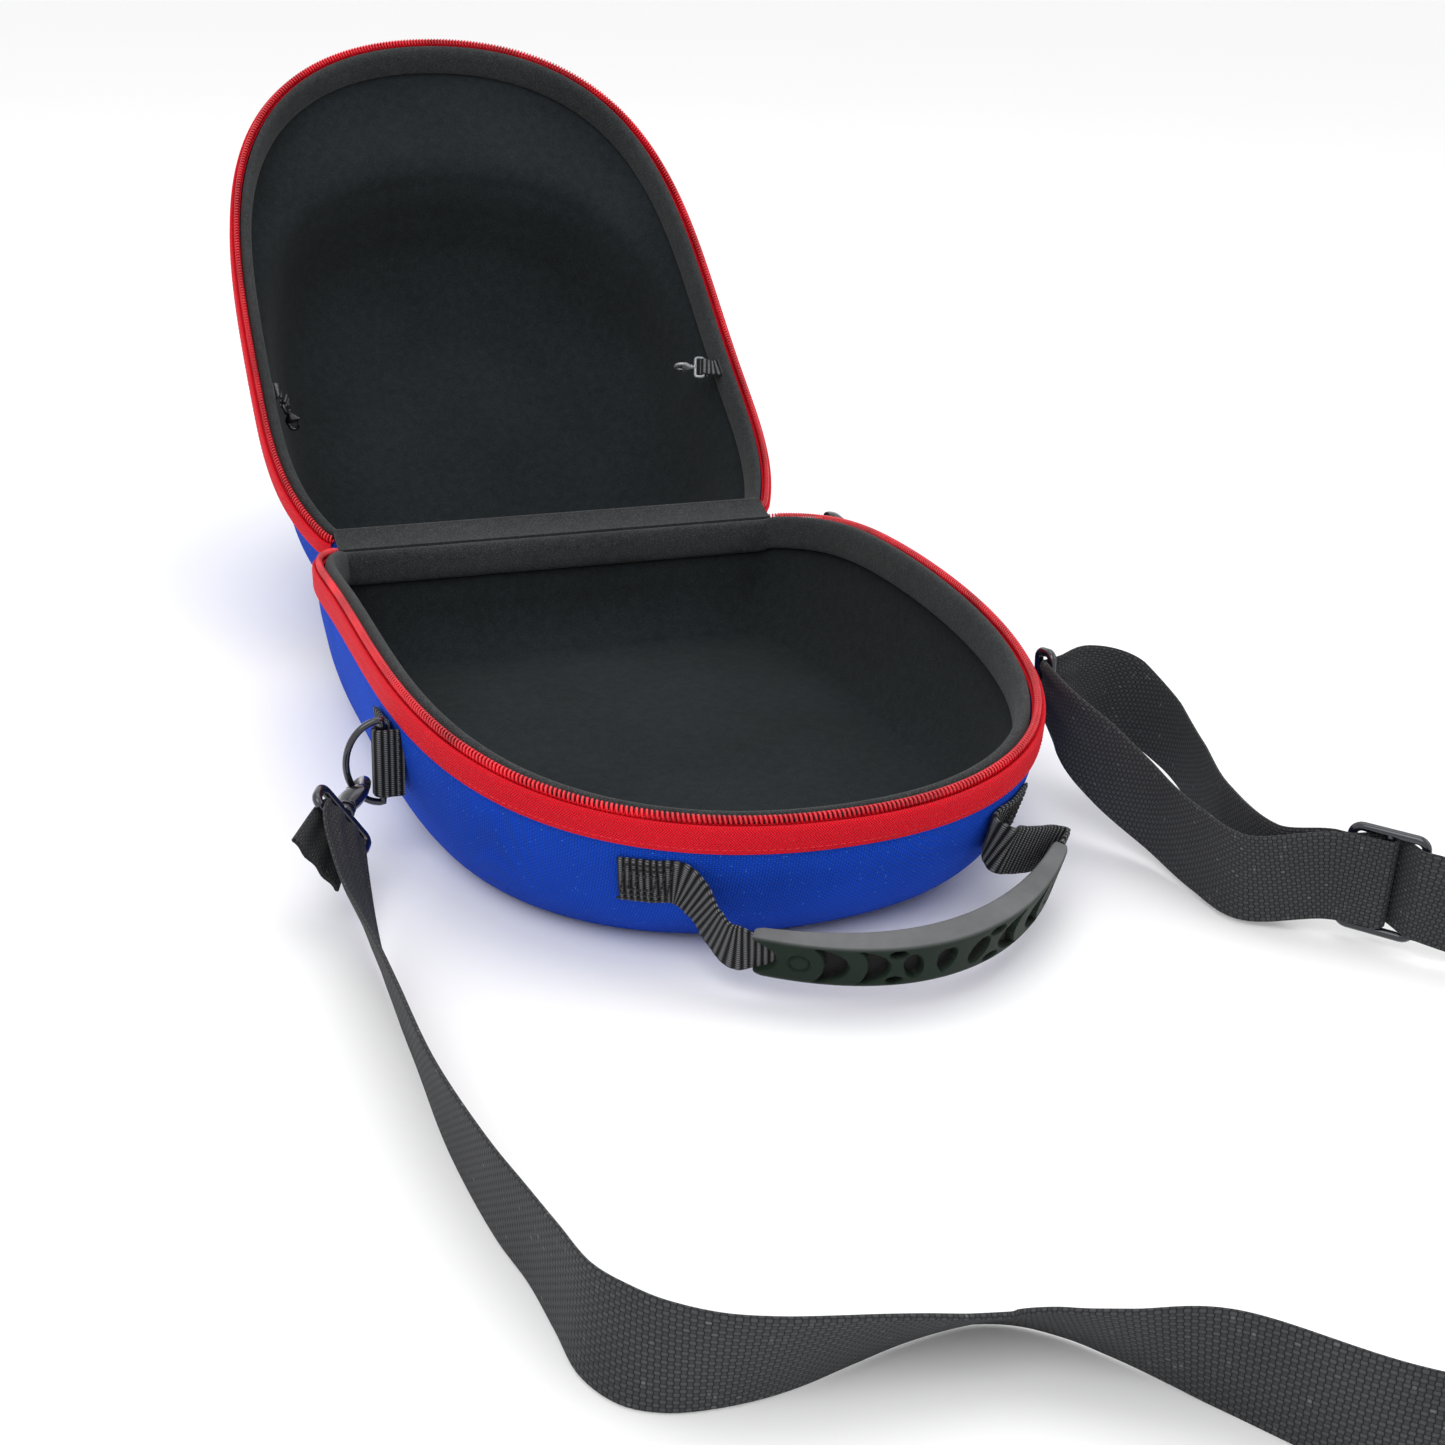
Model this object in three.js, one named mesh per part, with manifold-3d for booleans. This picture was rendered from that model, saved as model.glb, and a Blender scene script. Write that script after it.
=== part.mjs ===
// Hard-shell fabric carrier case for baseball caps, standing open on a table.
// Millimetres. +X to the right, -Y to the front, +Z up.
// The origin is on the table under the middle of the base half.
import * as THREE from "three";
import { mergeVertices } from "three/addons/utils/BufferGeometryUtils.js";
import Module from "manifold-3d";

// Rim that both halves share
const RIM_WIDTH = 230;
const RIM_LENGTH = 290;
const HINGE_WIDTH = 196;
const WIDEST_SHARE = 0.315;
const FRONT_POWER_ACROSS = 2.14;
const FRONT_POWER_ALONG = 3.78;
const BACK_POWER = 3.06;
const RIM_BOW = 14;
const RIM_BOW_SKEW = 5;

// Base half and lid half
const BASE_HEIGHT = 54;
const BASE_SIDE_ROUND = 22;
const BASE_FRONT_ROUND = 36;
const BASE_BACK_ROUND = 24;
const LID_DEPTH = 104;
const LID_SIDE_ROUND = 62;
const LID_FRONT_ROUND = 112;
const LID_BACK_ROUND = 46;
const LID_FLOOR_CLEARANCE = 0.3;

// Walls, felt and zip
const GAP = 0.3;
const SHELL_THICKNESS = 3;
const LINING_THICKNESS = 1.5;
const BINDING_THICKNESS = 3.5;
const BINDING_HEIGHT = 14;
const BINDING_DROP = 1;
const TAPE_THICKNESS = 1;
const TAPE_BOTTOM = 12;
const TEETH_HEIGHT = 4.2;
const TEETH_DEPTH = 3;
const HINGE_STRIP_THICKNESS = 1.6;
const HINGE_STRIP_DEPTH = 4;
const ZIP_SLIDER_WIDTH = 12;
const ZIP_SLIDER_DEPTH = 5;
const ZIP_SLIDER_HEIGHT = 8;
const ZIP_PULL_LENGTH = 22;

// Side loops, rings and snap hooks
const LOOP_SHARE = 0.63;
const LOOP_RISE = 38;
const LOOP_WEB_WIDTH = 24;
const LOOP_WEB_THICKNESS = 3.4;
const LOOP_REACH = 7;
const LOOP_PATCH = 20;
const LOOP_PATCH_THICKNESS = 1.8;
const RING_WIRE = 2.4;
const RING_ROOM = 2.8;
const RING_BULGE = 12;
const HOOK_THICKNESS = 4;
const HOOK_MOUTH_ROOM = 1.3;
const HOOK_NOSE = 2.8;
const HOOK_EYE_REACH = 24.5;
const HOOK_EYE_INSIDE = 5.5;
const HOOK_WIRE = 3;

// Shoulder strap and its slider
const STRAP_WIDTH = 30;
const STRAP_THICKNESS = 1.4;
const GATHERED_WIDTH = 19;
const GATHERED_THICKNESS = 2.6;
const STRAP_STEP = 13;
const SLIDER_BAR = 3;
const SLIDER_BAR_PITCH = 11;

// Carrying handle
const HANDLE_WEB_WIDTH = 18;
const HANDLE_WEB_THICKNESS = 1.8;
const HANDLE_RISE = 31;
const HANDLE_SEAT = 69.5;
const HANDLE_SHIFT = 7.5;
const HANDLE_PATCH = 17;
const HANDLE_TURN = 7;
const GRIP_HALF_SPAN = 57;
const GRIP_SHIFT = 26;
const GRIP_SKEW = 13;
const GRIP_BOW = 27;
const GRIP_END_REACH = 4;
const GRIP_HEIGHT = 15;
const GRIP_MIDDLE_THICKNESS = 9;
const GRIP_END_THICKNESS = 5;
const GRIP_LEAN = 13.6;
const GRIP_RISE = 18;
const GRIP_POCKET_DEPTH = 2.2;

// Tabs inside the lid
const LID_TAB_DROP = 4;
const LID_TAB_WIDTH = 11;
const LID_TAB_LENGTH = 13;
const LID_TAB_THICKNESS = 1.8;
const LID_CLIP_LENGTH = 17;
const LID_CLIP_THICKNESS = 4;

const HINGE_Y = RIM_LENGTH / 2;
const SKIN_INSET = TAPE_THICKNESS + GAP;
const UP = new THREE.Vector3(0, 0, 1);

// Where the rim's back quarter is sampled, as shares of the way to its widest place
const BACK_SHARES = [0, 0.12, 0.36, 0.68];
const FRONT_STEPS = 12;
const FRONT_SPACING = 1.7;
const HINGE_STEPS = 4;

// Base wall from rim to table: depth and inset as shares of the height and the rounds
const BASE_SECTIONS = [
  { depth: 0.0, side: 0.0, front: 0.0, back: 0.0 },
  { depth: 0.3, side: 0.055, front: 0.045, back: 0.045 },
  { depth: 0.45, side: 0.13, front: 0.11, back: 0.08 },
  { depth: 0.64, side: 0.25, front: 0.23, back: 0.16 },
  { depth: 0.8, side: 0.42, front: 0.4, back: 0.34 },
  { depth: 0.92, side: 0.64, front: 0.62, back: 0.6 },
  { depth: 0.98, side: 0.82, front: 0.81, back: 0.8 },
  { depth: 1.0, side: 1.0, front: 1.0, back: 1.0 },
];

// Lid wall from rim over the brim ledge to the crown, as shares of depth and rounds
const LID_SECTIONS = [
  { depth: 0.0, side: 0.0, front: 0.0, back: 0.0 },
  { depth: 0.19, side: 0.03, front: 0.045, back: 0.02 },
  { depth: 0.225, side: 0.06, front: 0.12, back: 0.04 },
  { depth: 0.265, side: 0.1, front: 0.24, back: 0.06 },
  { depth: 0.31, side: 0.13, front: 0.42, back: 0.09 },
  { depth: 0.4, side: 0.17, front: 0.5, back: 0.13 },
  { depth: 0.58, side: 0.23, front: 0.56, back: 0.21 },
  { depth: 0.75, side: 0.34, front: 0.63, back: 0.34 },
  { depth: 0.88, side: 0.53, front: 0.75, back: 0.54 },
  { depth: 0.96, side: 0.76, front: 0.88, back: 0.77 },
  { depth: 1.0, side: 1.0, front: 1.0, back: 1.0 },
];

// Snap hooks: side, the ring's swing towards the hinge and the place on the ring in degrees,
// way to the eye, and the eye's long side
const HOOKS = [
  { name: "left", side: -1, swing: 0, turn: -39, way: [-0.39, -0.92, -0.06], across: [-0.6, 0.12, 0.79] },
  { name: "right", side: 1, swing: 50, turn: 9, way: [0.02, -0.99, 0.17], across: [0.02, 0.03, 1] },
];

// Strap's lower edge on the table from the left hook round to the slider:
// across and along as shares of the rim, lift as a share of the strap, lean in degrees
const STRAP_FLOOR = [
  { across: -0.554, along: -0.315, lift: 0.12, lean: -27, gather: 0.6 },
  { across: -0.565, along: -0.393, lift: 0, lean: -18, gather: 0.2 },
  { across: -0.57, along: -0.472, lift: 0, lean: -14 },
  { across: -0.572, along: -0.552, lift: 0, lean: -12 },
  { across: -0.576, along: -0.69, lift: 0, lean: -9 },
  { across: -0.565, along: -0.817, lift: 0, lean: -6 },
  { across: -0.552, along: -0.879, lift: 0, lean: -5 },
  { across: -0.547, along: -0.938, lift: 0, lean: -1 },
  { across: -0.543, along: -0.99, lift: 0, lean: 3 },
  { across: -0.52, along: -1.024, lift: 0, lean: 4 },
  { across: -0.487, along: -1.041, lift: 0, lean: -1 },
  { across: -0.443, along: -1.048, lift: 0, lean: -10 },
  { across: -0.4, along: -1.05, lift: 0, lean: -16 },
  { across: -0.348, along: -1.045, lift: 0, lean: -24 },
  { across: -0.287, along: -1.034, lift: 0, lean: -34 },
  { across: -0.222, along: -1.024, lift: 0, lean: -43 },
  { across: -0.157, along: -1.021, lift: 0, lean: -47 },
  { across: -0.117, along: -1.031, lift: 0, lean: -46 },
  { across: -0.078, along: -1.055, lift: 0, lean: -42 },
  { across: -0.052, along: -1.079, lift: 0, lean: -38 },
  { across: -0.026, along: -1.107, lift: 0, lean: -30 },
  { across: 0.013, along: -1.159, lift: 0, lean: -9 },
  { across: 0.11, along: -1.262, lift: 0, lean: 2 },
  { across: 0.3, along: -1.36, lift: 0, lean: 5 },
  { across: 0.565, along: -1.4, lift: 0, lean: 6 },
  { across: 0.82, along: -1.33, lift: 0, lean: 6 },
  { across: 0.99, along: -1.18, lift: 0, lean: 5 },
  { across: 1.03, along: -0.99, lift: 0, lean: 4 },
  { across: 0.97, along: -0.81, lift: 0.06, lean: 2 },
  { across: 0.82, along: -0.69, lift: 0.13, lean: 0 },
];

// Strap's upper run from the slider to the right hook's eye: middle of the band
const STRAP_UPPER = [
  { across: 0.655, along: -0.52, lift: 0.56, lean: 2 },
  { across: 0.675, along: -0.4, lift: 0.53, lean: 4 },
  { across: 0.712, along: -0.305, lift: 0.64, lean: 6 },
  { across: 0.722, along: -0.222, lift: 0.87, lean: 6 },
  { across: 0.68, along: -0.16, lift: 1.2, lean: 4 },
  { across: 0.605, along: -0.158, lift: 1.43, lean: 0, gather: 0.35 },
];

// Strap's lower run back from the eye to the slider: middle of the band
const STRAP_LOWER = [
  { across: 0.512, along: -0.25, lift: 1.33, lean: 0, gather: 0.5 },
  { across: 0.54, along: -0.31, lift: 0.98, lean: -2 },
  { across: 0.572, along: -0.375, lift: 0.68, lean: -4 },
  { across: 0.583, along: -0.45, lift: 0.55, lean: -3 },
  { across: 0.595, along: -0.525, lift: 0.55, lean: -3 },
];

// Small openings along the grip: place along it, half length and half height as shares
const GRIP_POCKETS = [
  { along: -0.6, length: 0.07, height: 0.28 },
  { along: -0.42, length: 0.055, height: 0.28 },
  { along: -0.22, length: 0.05, height: 0.3 },
  { along: 0.0, length: 0.045, height: 0.3 },
  { along: 0.22, length: 0.05, height: 0.3 },
  { along: 0.42, length: 0.055, height: 0.28 },
  { along: 0.6, length: 0.07, height: 0.28 },
];

const wasm = await Module();
wasm.setup();

const COLOURS = {
  blueShell: { color: 0x164ab7, roughness: 0.85, metalness: 0 },
  blackLining: { color: 0x1c1e1f, roughness: 0.95, metalness: 0 },
  charcoalFelt: { color: 0x333638, roughness: 0.95, metalness: 0 },
  redTape: { color: 0xf43849, roughness: 0.8, metalness: 0 },
  redTeeth: { color: 0xd33146, roughness: 0.45, metalness: 0 },
  blackWeb: { color: 0x26272a, roughness: 0.9, metalness: 0 },
  blackMetal: { color: 0x15171a, roughness: 0.3, metalness: 0.8 },
  greyGrip: { color: 0x55595a, roughness: 0.7, metalness: 0 },
};

// Outline of the rim
function rimStations() {
  const half = RIM_WIDTH / 2;
  const widest = RIM_LENGTH * WIDEST_SHARE;
  const side = BACK_SHARES.map((share) => ({
    x: half - (half - HINGE_WIDTH / 2) * (1 - share) ** BACK_POWER,
    v: widest * share,
  }));
  for (let step = 0; step <= FRONT_STEPS; step += 1) {
    const angle = (Math.PI / 2) * (step / FRONT_STEPS) ** FRONT_SPACING;
    const across = Math.abs(Math.cos(angle)) ** (2 / FRONT_POWER_ACROSS);
    const along = Math.sin(angle) ** (2 / FRONT_POWER_ALONG);
    side.push({ x: half * across, v: widest + (RIM_LENGTH - widest) * along });
  }
  side[side.length - 1].x = 0;
  const left = side.map((point) => ({ x: -point.x, v: point.v }));
  const right = side.slice(0, -1).reverse();
  const back = [];
  for (let step = 1; step < HINGE_STEPS; step += 1) {
    back.push({ x: HINGE_WIDTH * (0.5 - step / HINGE_STEPS), v: 0 });
  }
  return addNormals([...left, ...right, ...back]);
}

function addNormals(points) {
  const count = points.length;
  return points.map((point, index) => {
    const before = points[(index + count - 1) % count];
    const after = points[(index + 1) % count];
    const into = new THREE.Vector2(point.x - before.x, before.v - point.v).normalize();
    const out = new THREE.Vector2(after.x - point.x, point.v - after.v).normalize();
    const mitre = 1 + into.dot(out);
    const way = into.add(out).divideScalar(mitre);
    const share = point.v / RIM_LENGTH;
    const bow = 4 * share * (1 - share) * (RIM_BOW + 2.5 * RIM_BOW_SKEW * (0.5 - share));
    return { x: point.x, v: point.v, nx: way.y, ny: -way.x, bow, onBack: point.v === 0 };
  });
}

const STATIONS = rimStations();
const FIRST_ZIP = 1;
const LAST_ZIP = 2 * (BACK_SHARES.length + FRONT_STEPS) - 1;

// The two halves, each in the hinge's own frame: y = 0 and z = 0 on the hinge line
const BASE = {
  sign: -1,
  height: BASE_HEIGHT,
  sections: BASE_SECTIONS,
  rounds: { side: BASE_SIDE_ROUND, front: BASE_FRONT_ROUND, back: BASE_BACK_ROUND },
};
const LID = {
  sign: 1,
  height: LID_DEPTH,
  sections: LID_SECTIONS,
  rounds: { side: LID_SIDE_ROUND, front: LID_FRONT_ROUND, back: LID_BACK_ROUND },
};

function localDepth(half, station) {
  return half.height - half.sign * station.bow;
}

function rimPoint(half, station, inset, drop) {
  return new THREE.Vector3(
    station.x - station.nx * inset,
    -station.v - station.ny * inset,
    station.bow + half.sign * drop,
  );
}

function insetsAt(half, share) {
  const rows = half.sections;
  let next = 1;
  while (next < rows.length - 1 && rows[next].depth < share) next += 1;
  const low = rows[next - 1];
  const high = rows[next];
  const blend = (share - low.depth) / (high.depth - low.depth);
  const inset = (key) => half.rounds[key] * (low[key] + (high[key] - low[key]) * blend);
  return { side: inset("side"), front: inset("front"), back: inset("back") };
}

function wallPoint(half, station, share) {
  const inset = insetsAt(half, share);
  const rim = rimPoint(half, station, SKIN_INSET, 0);
  const along = (RIM_LENGTH - inset.front - inset.back) / RIM_LENGTH;
  return new THREE.Vector3(
    rim.x * (1 - inset.side / (RIM_WIDTH / 2)),
    rim.y * along - inset.back,
    station.bow + half.sign * share * localDepth(half, station),
  );
}

function wallRings(half, drop, backDrop = drop) {
  const dropAt = (station) => (station.onBack ? backDrop : drop);
  const first = STATIONS.map((s) => wallPoint(half, s, dropAt(s) / localDepth(half, s)));
  const shallowest = Math.min(...STATIONS.map((s) => localDepth(half, s)));
  const margin = drop / shallowest + 0.01;
  const rows = half.sections.filter((row) => row.depth > margin);
  return [first, ...rows.map((row) => STATIONS.map((s) => wallPoint(half, s, row.depth)))];
}

function insetRings(half, rings, thickness) {
  const last = rings.length - 1;
  return rings.map((ring, row) => ring.map((point, index) => {
    const count = ring.length;
    const unit = (a, b) => b.clone().sub(a).normalize();
    const arounds = [
      unit(ring[(index + count - 1) % count], point), unit(point, ring[(index + 1) % count]),
    ];
    const downs = [];
    if (row > 0) downs.push(unit(rings[row - 1][index], point));
    if (row < last) downs.push(unit(point, rings[row + 1][index]));
    const faces = arounds.flatMap((around) => downs.map((down) => around.clone().cross(down)));
    faces.forEach((face) => face.multiplyScalar(half.sign).normalize());
    const outward = faces.reduce((sum, face) => sum.add(face), new THREE.Vector3()).normalize();
    const lean = faces.reduce((sum, face) => sum + face.dot(outward), 0) / faces.length;
    outward.divideScalar(lean);
    if (row === last) outward.set(0, 0, half.sign);
    const moved = point.clone().addScaledVector(outward, -thickness);
    if (row === 0) moved.z = point.z;
    return moved;
  }));
}

// Closed bodies from rings of points
function skin(rings, joined) {
  const count = rings[0].length;
  const positions = rings.flat().flatMap((point) => [point.x, point.y, point.z]);
  const indices = [];
  const spans = joined ? rings.length : rings.length - 1;
  for (let row = 0; row < spans; row += 1) {
    addBand(row * count, ((row + 1) % rings.length) * count, count, indices, false);
  }
  if (!joined) {
    addCap(rings[0], 0, positions, indices, true);
    addCap(rings[rings.length - 1], (rings.length - 1) * count, positions, indices, false);
  }
  return outwardGeometry(positions, indices);
}

// A hollow half: its outer and inner skins share one way of splitting their faces
function tray(outer, inner) {
  const count = outer[0].length;
  const rings = [...outer, ...inner];
  const positions = rings.flat().flatMap((point) => [point.x, point.y, point.z]);
  const indices = [];
  for (let row = 0; row < outer.length - 1; row += 1) {
    addBand(row * count, (row + 1) * count, count, indices, false);
    const low = (outer.length + row) * count;
    addBand(low, low + count, count, indices, true);
  }
  addBand(0, outer.length * count, count, indices, true);
  addCap(outer[outer.length - 1], (outer.length - 1) * count, positions, indices, false);
  addCap(inner[inner.length - 1], (rings.length - 1) * count, positions, indices, true);
  return outwardGeometry(positions, indices);
}

function addBand(low, high, count, indices, reversed) {
  for (let index = 0; index < count; index += 1) {
    const next = (index + 1) % count;
    const [a, b, c, d] = [low + index, low + next, high + next, high + index];
    if (reversed) indices.push(a, c, b, a, d, c);
    else indices.push(a, b, c, a, c, d);
  }
}

function addCap(ring, start, positions, indices, reversed) {
  const middle = ring.reduce((sum, point) => sum.add(point), new THREE.Vector3());
  middle.multiplyScalar(1 / ring.length);
  const centre = positions.length / 3;
  positions.push(middle.x, middle.y, middle.z);
  for (let index = 0; index < ring.length; index += 1) {
    const a = start + index;
    const b = start + ((index + 1) % ring.length);
    if (reversed) indices.push(centre, b, a);
    else indices.push(centre, a, b);
  }
}

function outwardGeometry(positions, indices) {
  const point = (index) => new THREE.Vector3().fromArray(positions, index * 3);
  let volume = 0;
  for (let i = 0; i < indices.length; i += 3) {
    const [a, b, c] = [point(indices[i]), point(indices[i + 1]), point(indices[i + 2])];
    volume += a.dot(b.cross(c));
  }
  const faces = indices.slice();
  if (volume < 0) {
    for (let i = 0; i < faces.length; i += 3) {
      [faces[i + 1], faces[i + 2]] = [faces[i + 2], faces[i + 1]];
    }
  }
  const geometry = new THREE.BufferGeometry();
  geometry.setAttribute("position", new THREE.Float32BufferAttribute(positions, 3));
  geometry.setIndex(faces);
  return geometry;
}

// Joining and cutting
function toSolid(source) {
  const bare = source.clone();
  bare.deleteAttribute("normal");
  bare.deleteAttribute("uv");
  const merged = mergeVertices(bare, 1e-4);
  return new wasm.Manifold(new wasm.Mesh({
    numProp: 3,
    vertProperties: new Float32Array(merged.getAttribute("position").array),
    triVerts: new Uint32Array(merged.getIndex().array),
  }));
}

function fromSolid(body) {
  const mesh = body.getMesh();
  const geometry = new THREE.BufferGeometry();
  geometry.setAttribute("position", new THREE.BufferAttribute(mesh.vertProperties, 3));
  geometry.setIndex(new THREE.BufferAttribute(mesh.triVerts, 1));
  return geometry;
}

function join(...parts) {
  return fromSolid(parts.map(toSolid).reduce((sum, part) => sum.add(part)));
}

function cut(whole, ...tools) {
  return fromSolid(tools.map(toSolid).reduce((rest, tool) => rest.subtract(tool), toSolid(whole)));
}

// Turns a shape so that its x, y and z lie along three given ways from a place
function placed(geometry, place, alongX, alongY, alongZ) {
  const matrix = new THREE.Matrix4().makeBasis(alongX, alongY, alongZ).setPosition(place);
  return geometry.clone().applyMatrix4(matrix);
}

function inBaseFrame(geometry) {
  return geometry.clone().translate(0, HINGE_Y, BASE_HEIGHT);
}

// Shell, lining and rim of one half
function shellGeometry(half) {
  const backTop = HINGE_STRIP_THICKNESS + 2 * GAP;
  const outer = wallRings(half, TEETH_HEIGHT + 2 * GAP, backTop);
  return tray(outer, insetRings(half, outer, SHELL_THICKNESS));
}

function liningGeometry(half) {
  const rings = wallRings(half, BINDING_DROP + BINDING_HEIGHT + 2 * GAP);
  const outer = insetRings(half, rings, SHELL_THICKNESS + GAP);
  const inner = insetRings(half, rings, SHELL_THICKNESS + GAP + LINING_THICKNESS);
  return tray(outer, inner);
}

// A strip round the wall: its section's corners are insets and drops from the rim line
function rimStrip(half, corners, from, to) {
  const whole = from === undefined;
  const stations = whole ? STATIONS : STATIONS.slice(from, to + 1);
  const section = (station) => corners.map(([inset, drop]) => stripPoint(half, station, inset, drop));
  return skin(stations.map(section), whole);
}

function stripPoint(half, station, inset, drop) {
  const inward = new THREE.Vector3(-station.nx, -station.ny, 0);
  const onWall = wallPoint(half, station, drop / localDepth(half, station));
  return onWall.addScaledVector(inward, inset - SKIN_INSET);
}

function bindingGeometry(half) {
  const near = SKIN_INSET + SHELL_THICKNESS + GAP;
  const far = near + BINDING_THICKNESS;
  const round = BINDING_THICKNESS * 0.3;
  const top = BINDING_DROP;
  const bottom = BINDING_DROP + BINDING_HEIGHT;
  const corners = [
    [near, top + round], [near + round, top], [far - round, top], [far, top + round],
    [far, bottom - round], [far - round, bottom], [near, bottom],
  ];
  return rimStrip(half, corners);
}

function tapeGeometry(half) {
  const top = TEETH_HEIGHT + 2 * GAP;
  const corners = [
    [0, top], [TAPE_THICKNESS, top], [TAPE_THICKNESS, TAPE_BOTTOM], [0, TAPE_BOTTOM],
  ];
  return rimStrip(half, corners, FIRST_ZIP, LAST_ZIP);
}

function teethGeometry(half) {
  const near = TAPE_THICKNESS / 2;
  const far = near + TEETH_DEPTH;
  const top = GAP;
  const bottom = GAP + TEETH_HEIGHT;
  const round = TEETH_DEPTH * 0.28;
  const corners = [
    [near, top + round], [near + round, top], [far - round, top],
    [far, top + round], [far, bottom], [near, bottom],
  ];
  return rimStrip(half, corners, FIRST_ZIP, LAST_ZIP);
}

function hingeStripGeometry(half) {
  const width = HINGE_WIDTH - 4 * HINGE_STRIP_THICKNESS;
  const strip = new THREE.BoxGeometry(width, HINGE_STRIP_DEPTH, HINGE_STRIP_THICKNESS);
  const height = half.sign * (GAP + HINGE_STRIP_THICKNESS / 2);
  return strip.translate(0, -GAP - HINGE_STRIP_DEPTH / 2, height);
}

// The base's outer wall, grown by a clearance, that trims what lies against it
function grownBase(growth) {
  const rings = insetRings(BASE, wallRings(BASE, 0), -growth);
  const table = rings[rings.length - 1].map((p) => new THREE.Vector3(p.x, p.y, p.z - growth));
  return inBaseFrame(skin([...rings, table], false));
}

function rimAcrossAt(y) {
  const v = HINGE_Y - y;
  const half = STATIONS.filter((s) => s.x > 0 || s.v === RIM_LENGTH).sort((a, b) => a.v - b.v);
  const next = Math.max(1, half.findIndex((s) => s.v >= v));
  const [low, high] = [half[next - 1], half[next]];
  return low.x + ((high.x - low.x) * (v - low.v)) / (high.v - low.v);
}

// Side loops and rings
const LOOP_Y = HINGE_Y - RIM_LENGTH * LOOP_SHARE;
const LOOP_INSET = SKIN_INSET + BASE_SIDE_ROUND * 0.13;

function ringCentre(side) {
  const wall = rimAcrossAt(LOOP_Y) - LOOP_INSET;
  return new THREE.Vector3(side * (wall + LOOP_REACH), LOOP_Y, LOOP_RISE);
}

function sideLoopGeometry(side) {
  const eye = RING_WIRE / 2 + 2 * GAP;
  const outer = eye + LOOP_WEB_THICKNESS / 2;
  const reach = LOOP_REACH + LOOP_INSET;
  const fold = new THREE.CylinderGeometry(outer, outer, LOOP_WEB_WIDTH, 14).rotateX(Math.PI / 2);
  const layers = new THREE.BoxGeometry(reach, 2 * outer, LOOP_WEB_WIDTH);
  layers.translate((-side * reach) / 2, 0, 0);
  const hole = new THREE.CylinderGeometry(eye, eye, LOOP_WEB_WIDTH * 2, 14).rotateX(Math.PI / 2);
  const centre = ringCentre(side);
  const web = cut(join(fold, layers), hole).translate(centre.x, centre.y, centre.z);
  return cut(join(web, sideLoopPatch(centre)), grownBase(GAP));
}

// The loop's web is sewn flat to the wall behind the ring
function sideLoopPatch(centre) {
  const seat = new THREE.BoxGeometry(RIM_WIDTH / 3, LOOP_PATCH, LOOP_WEB_WIDTH);
  seat.translate(centre.x, centre.y + LOOP_PATCH / 2, centre.z);
  const grown = grownBase(GAP + LOOP_PATCH_THICKNESS);
  return fromSolid(toSolid(grown).intersect(toSolid(seat)));
}

// A round wire bent along a closed flat path
function wireLoop(path, radius, normal, sides) {
  const count = path.length;
  const rings = path.map((point, index) => {
    const ahead = path[(index + 1) % count].clone().sub(path[(index + count - 1) % count]);
    const outward = ahead.normalize().cross(normal);
    const ring = [];
    for (let step = 0; step < sides; step += 1) {
      const angle = (2 * Math.PI * (step + 0.5)) / sides;
      ring.push(point.clone()
        .addScaledVector(outward, radius * Math.cos(angle))
        .addScaledVector(normal, radius * Math.sin(angle)));
    }
    return ring;
  });
  return skin(rings, true);
}

function ringHeight() {
  return LOOP_WEB_WIDTH + RING_WIRE + RING_ROOM;
}

function ringOut(hook) {
  const swing = THREE.MathUtils.degToRad(hook.swing);
  return new THREE.Vector3(hook.side * Math.cos(swing), Math.sin(swing), 0);
}

function ringPoint(hook, degrees) {
  const angle = THREE.MathUtils.degToRad(degrees);
  return ringCentre(hook.side)
    .addScaledVector(ringOut(hook), RING_BULGE * Math.cos(angle))
    .addScaledVector(UP, (ringHeight() / 2) * Math.sin(angle));
}

function dRingGeometry(hook) {
  const path = [];
  const arcSteps = 14;
  for (let step = 0; step <= arcSteps; step += 1) {
    path.push(ringPoint(hook, -90 + (180 * step) / arcSteps));
  }
  for (const share of [0.5, -0.5]) {
    path.push(ringCentre(hook.side).addScaledVector(UP, (share * ringHeight()) / 2));
  }
  const normal = ringOut(hook).cross(UP).multiplyScalar(-hook.side);
  return wireLoop(path, RING_WIRE / 2, normal, 8);
}

// Snap hooks. A hook's own x runs from the ring to the eye, its z along the eye's long side
function hookFrame(hook) {
  const way = new THREE.Vector3(...hook.way).normalize();
  const across = new THREE.Vector3(...hook.across);
  across.addScaledVector(way, -across.dot(way)).normalize();
  const flat = across.clone().cross(way).normalize();
  return { place: ringPoint(hook, hook.turn), way, flat, across };
}

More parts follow.
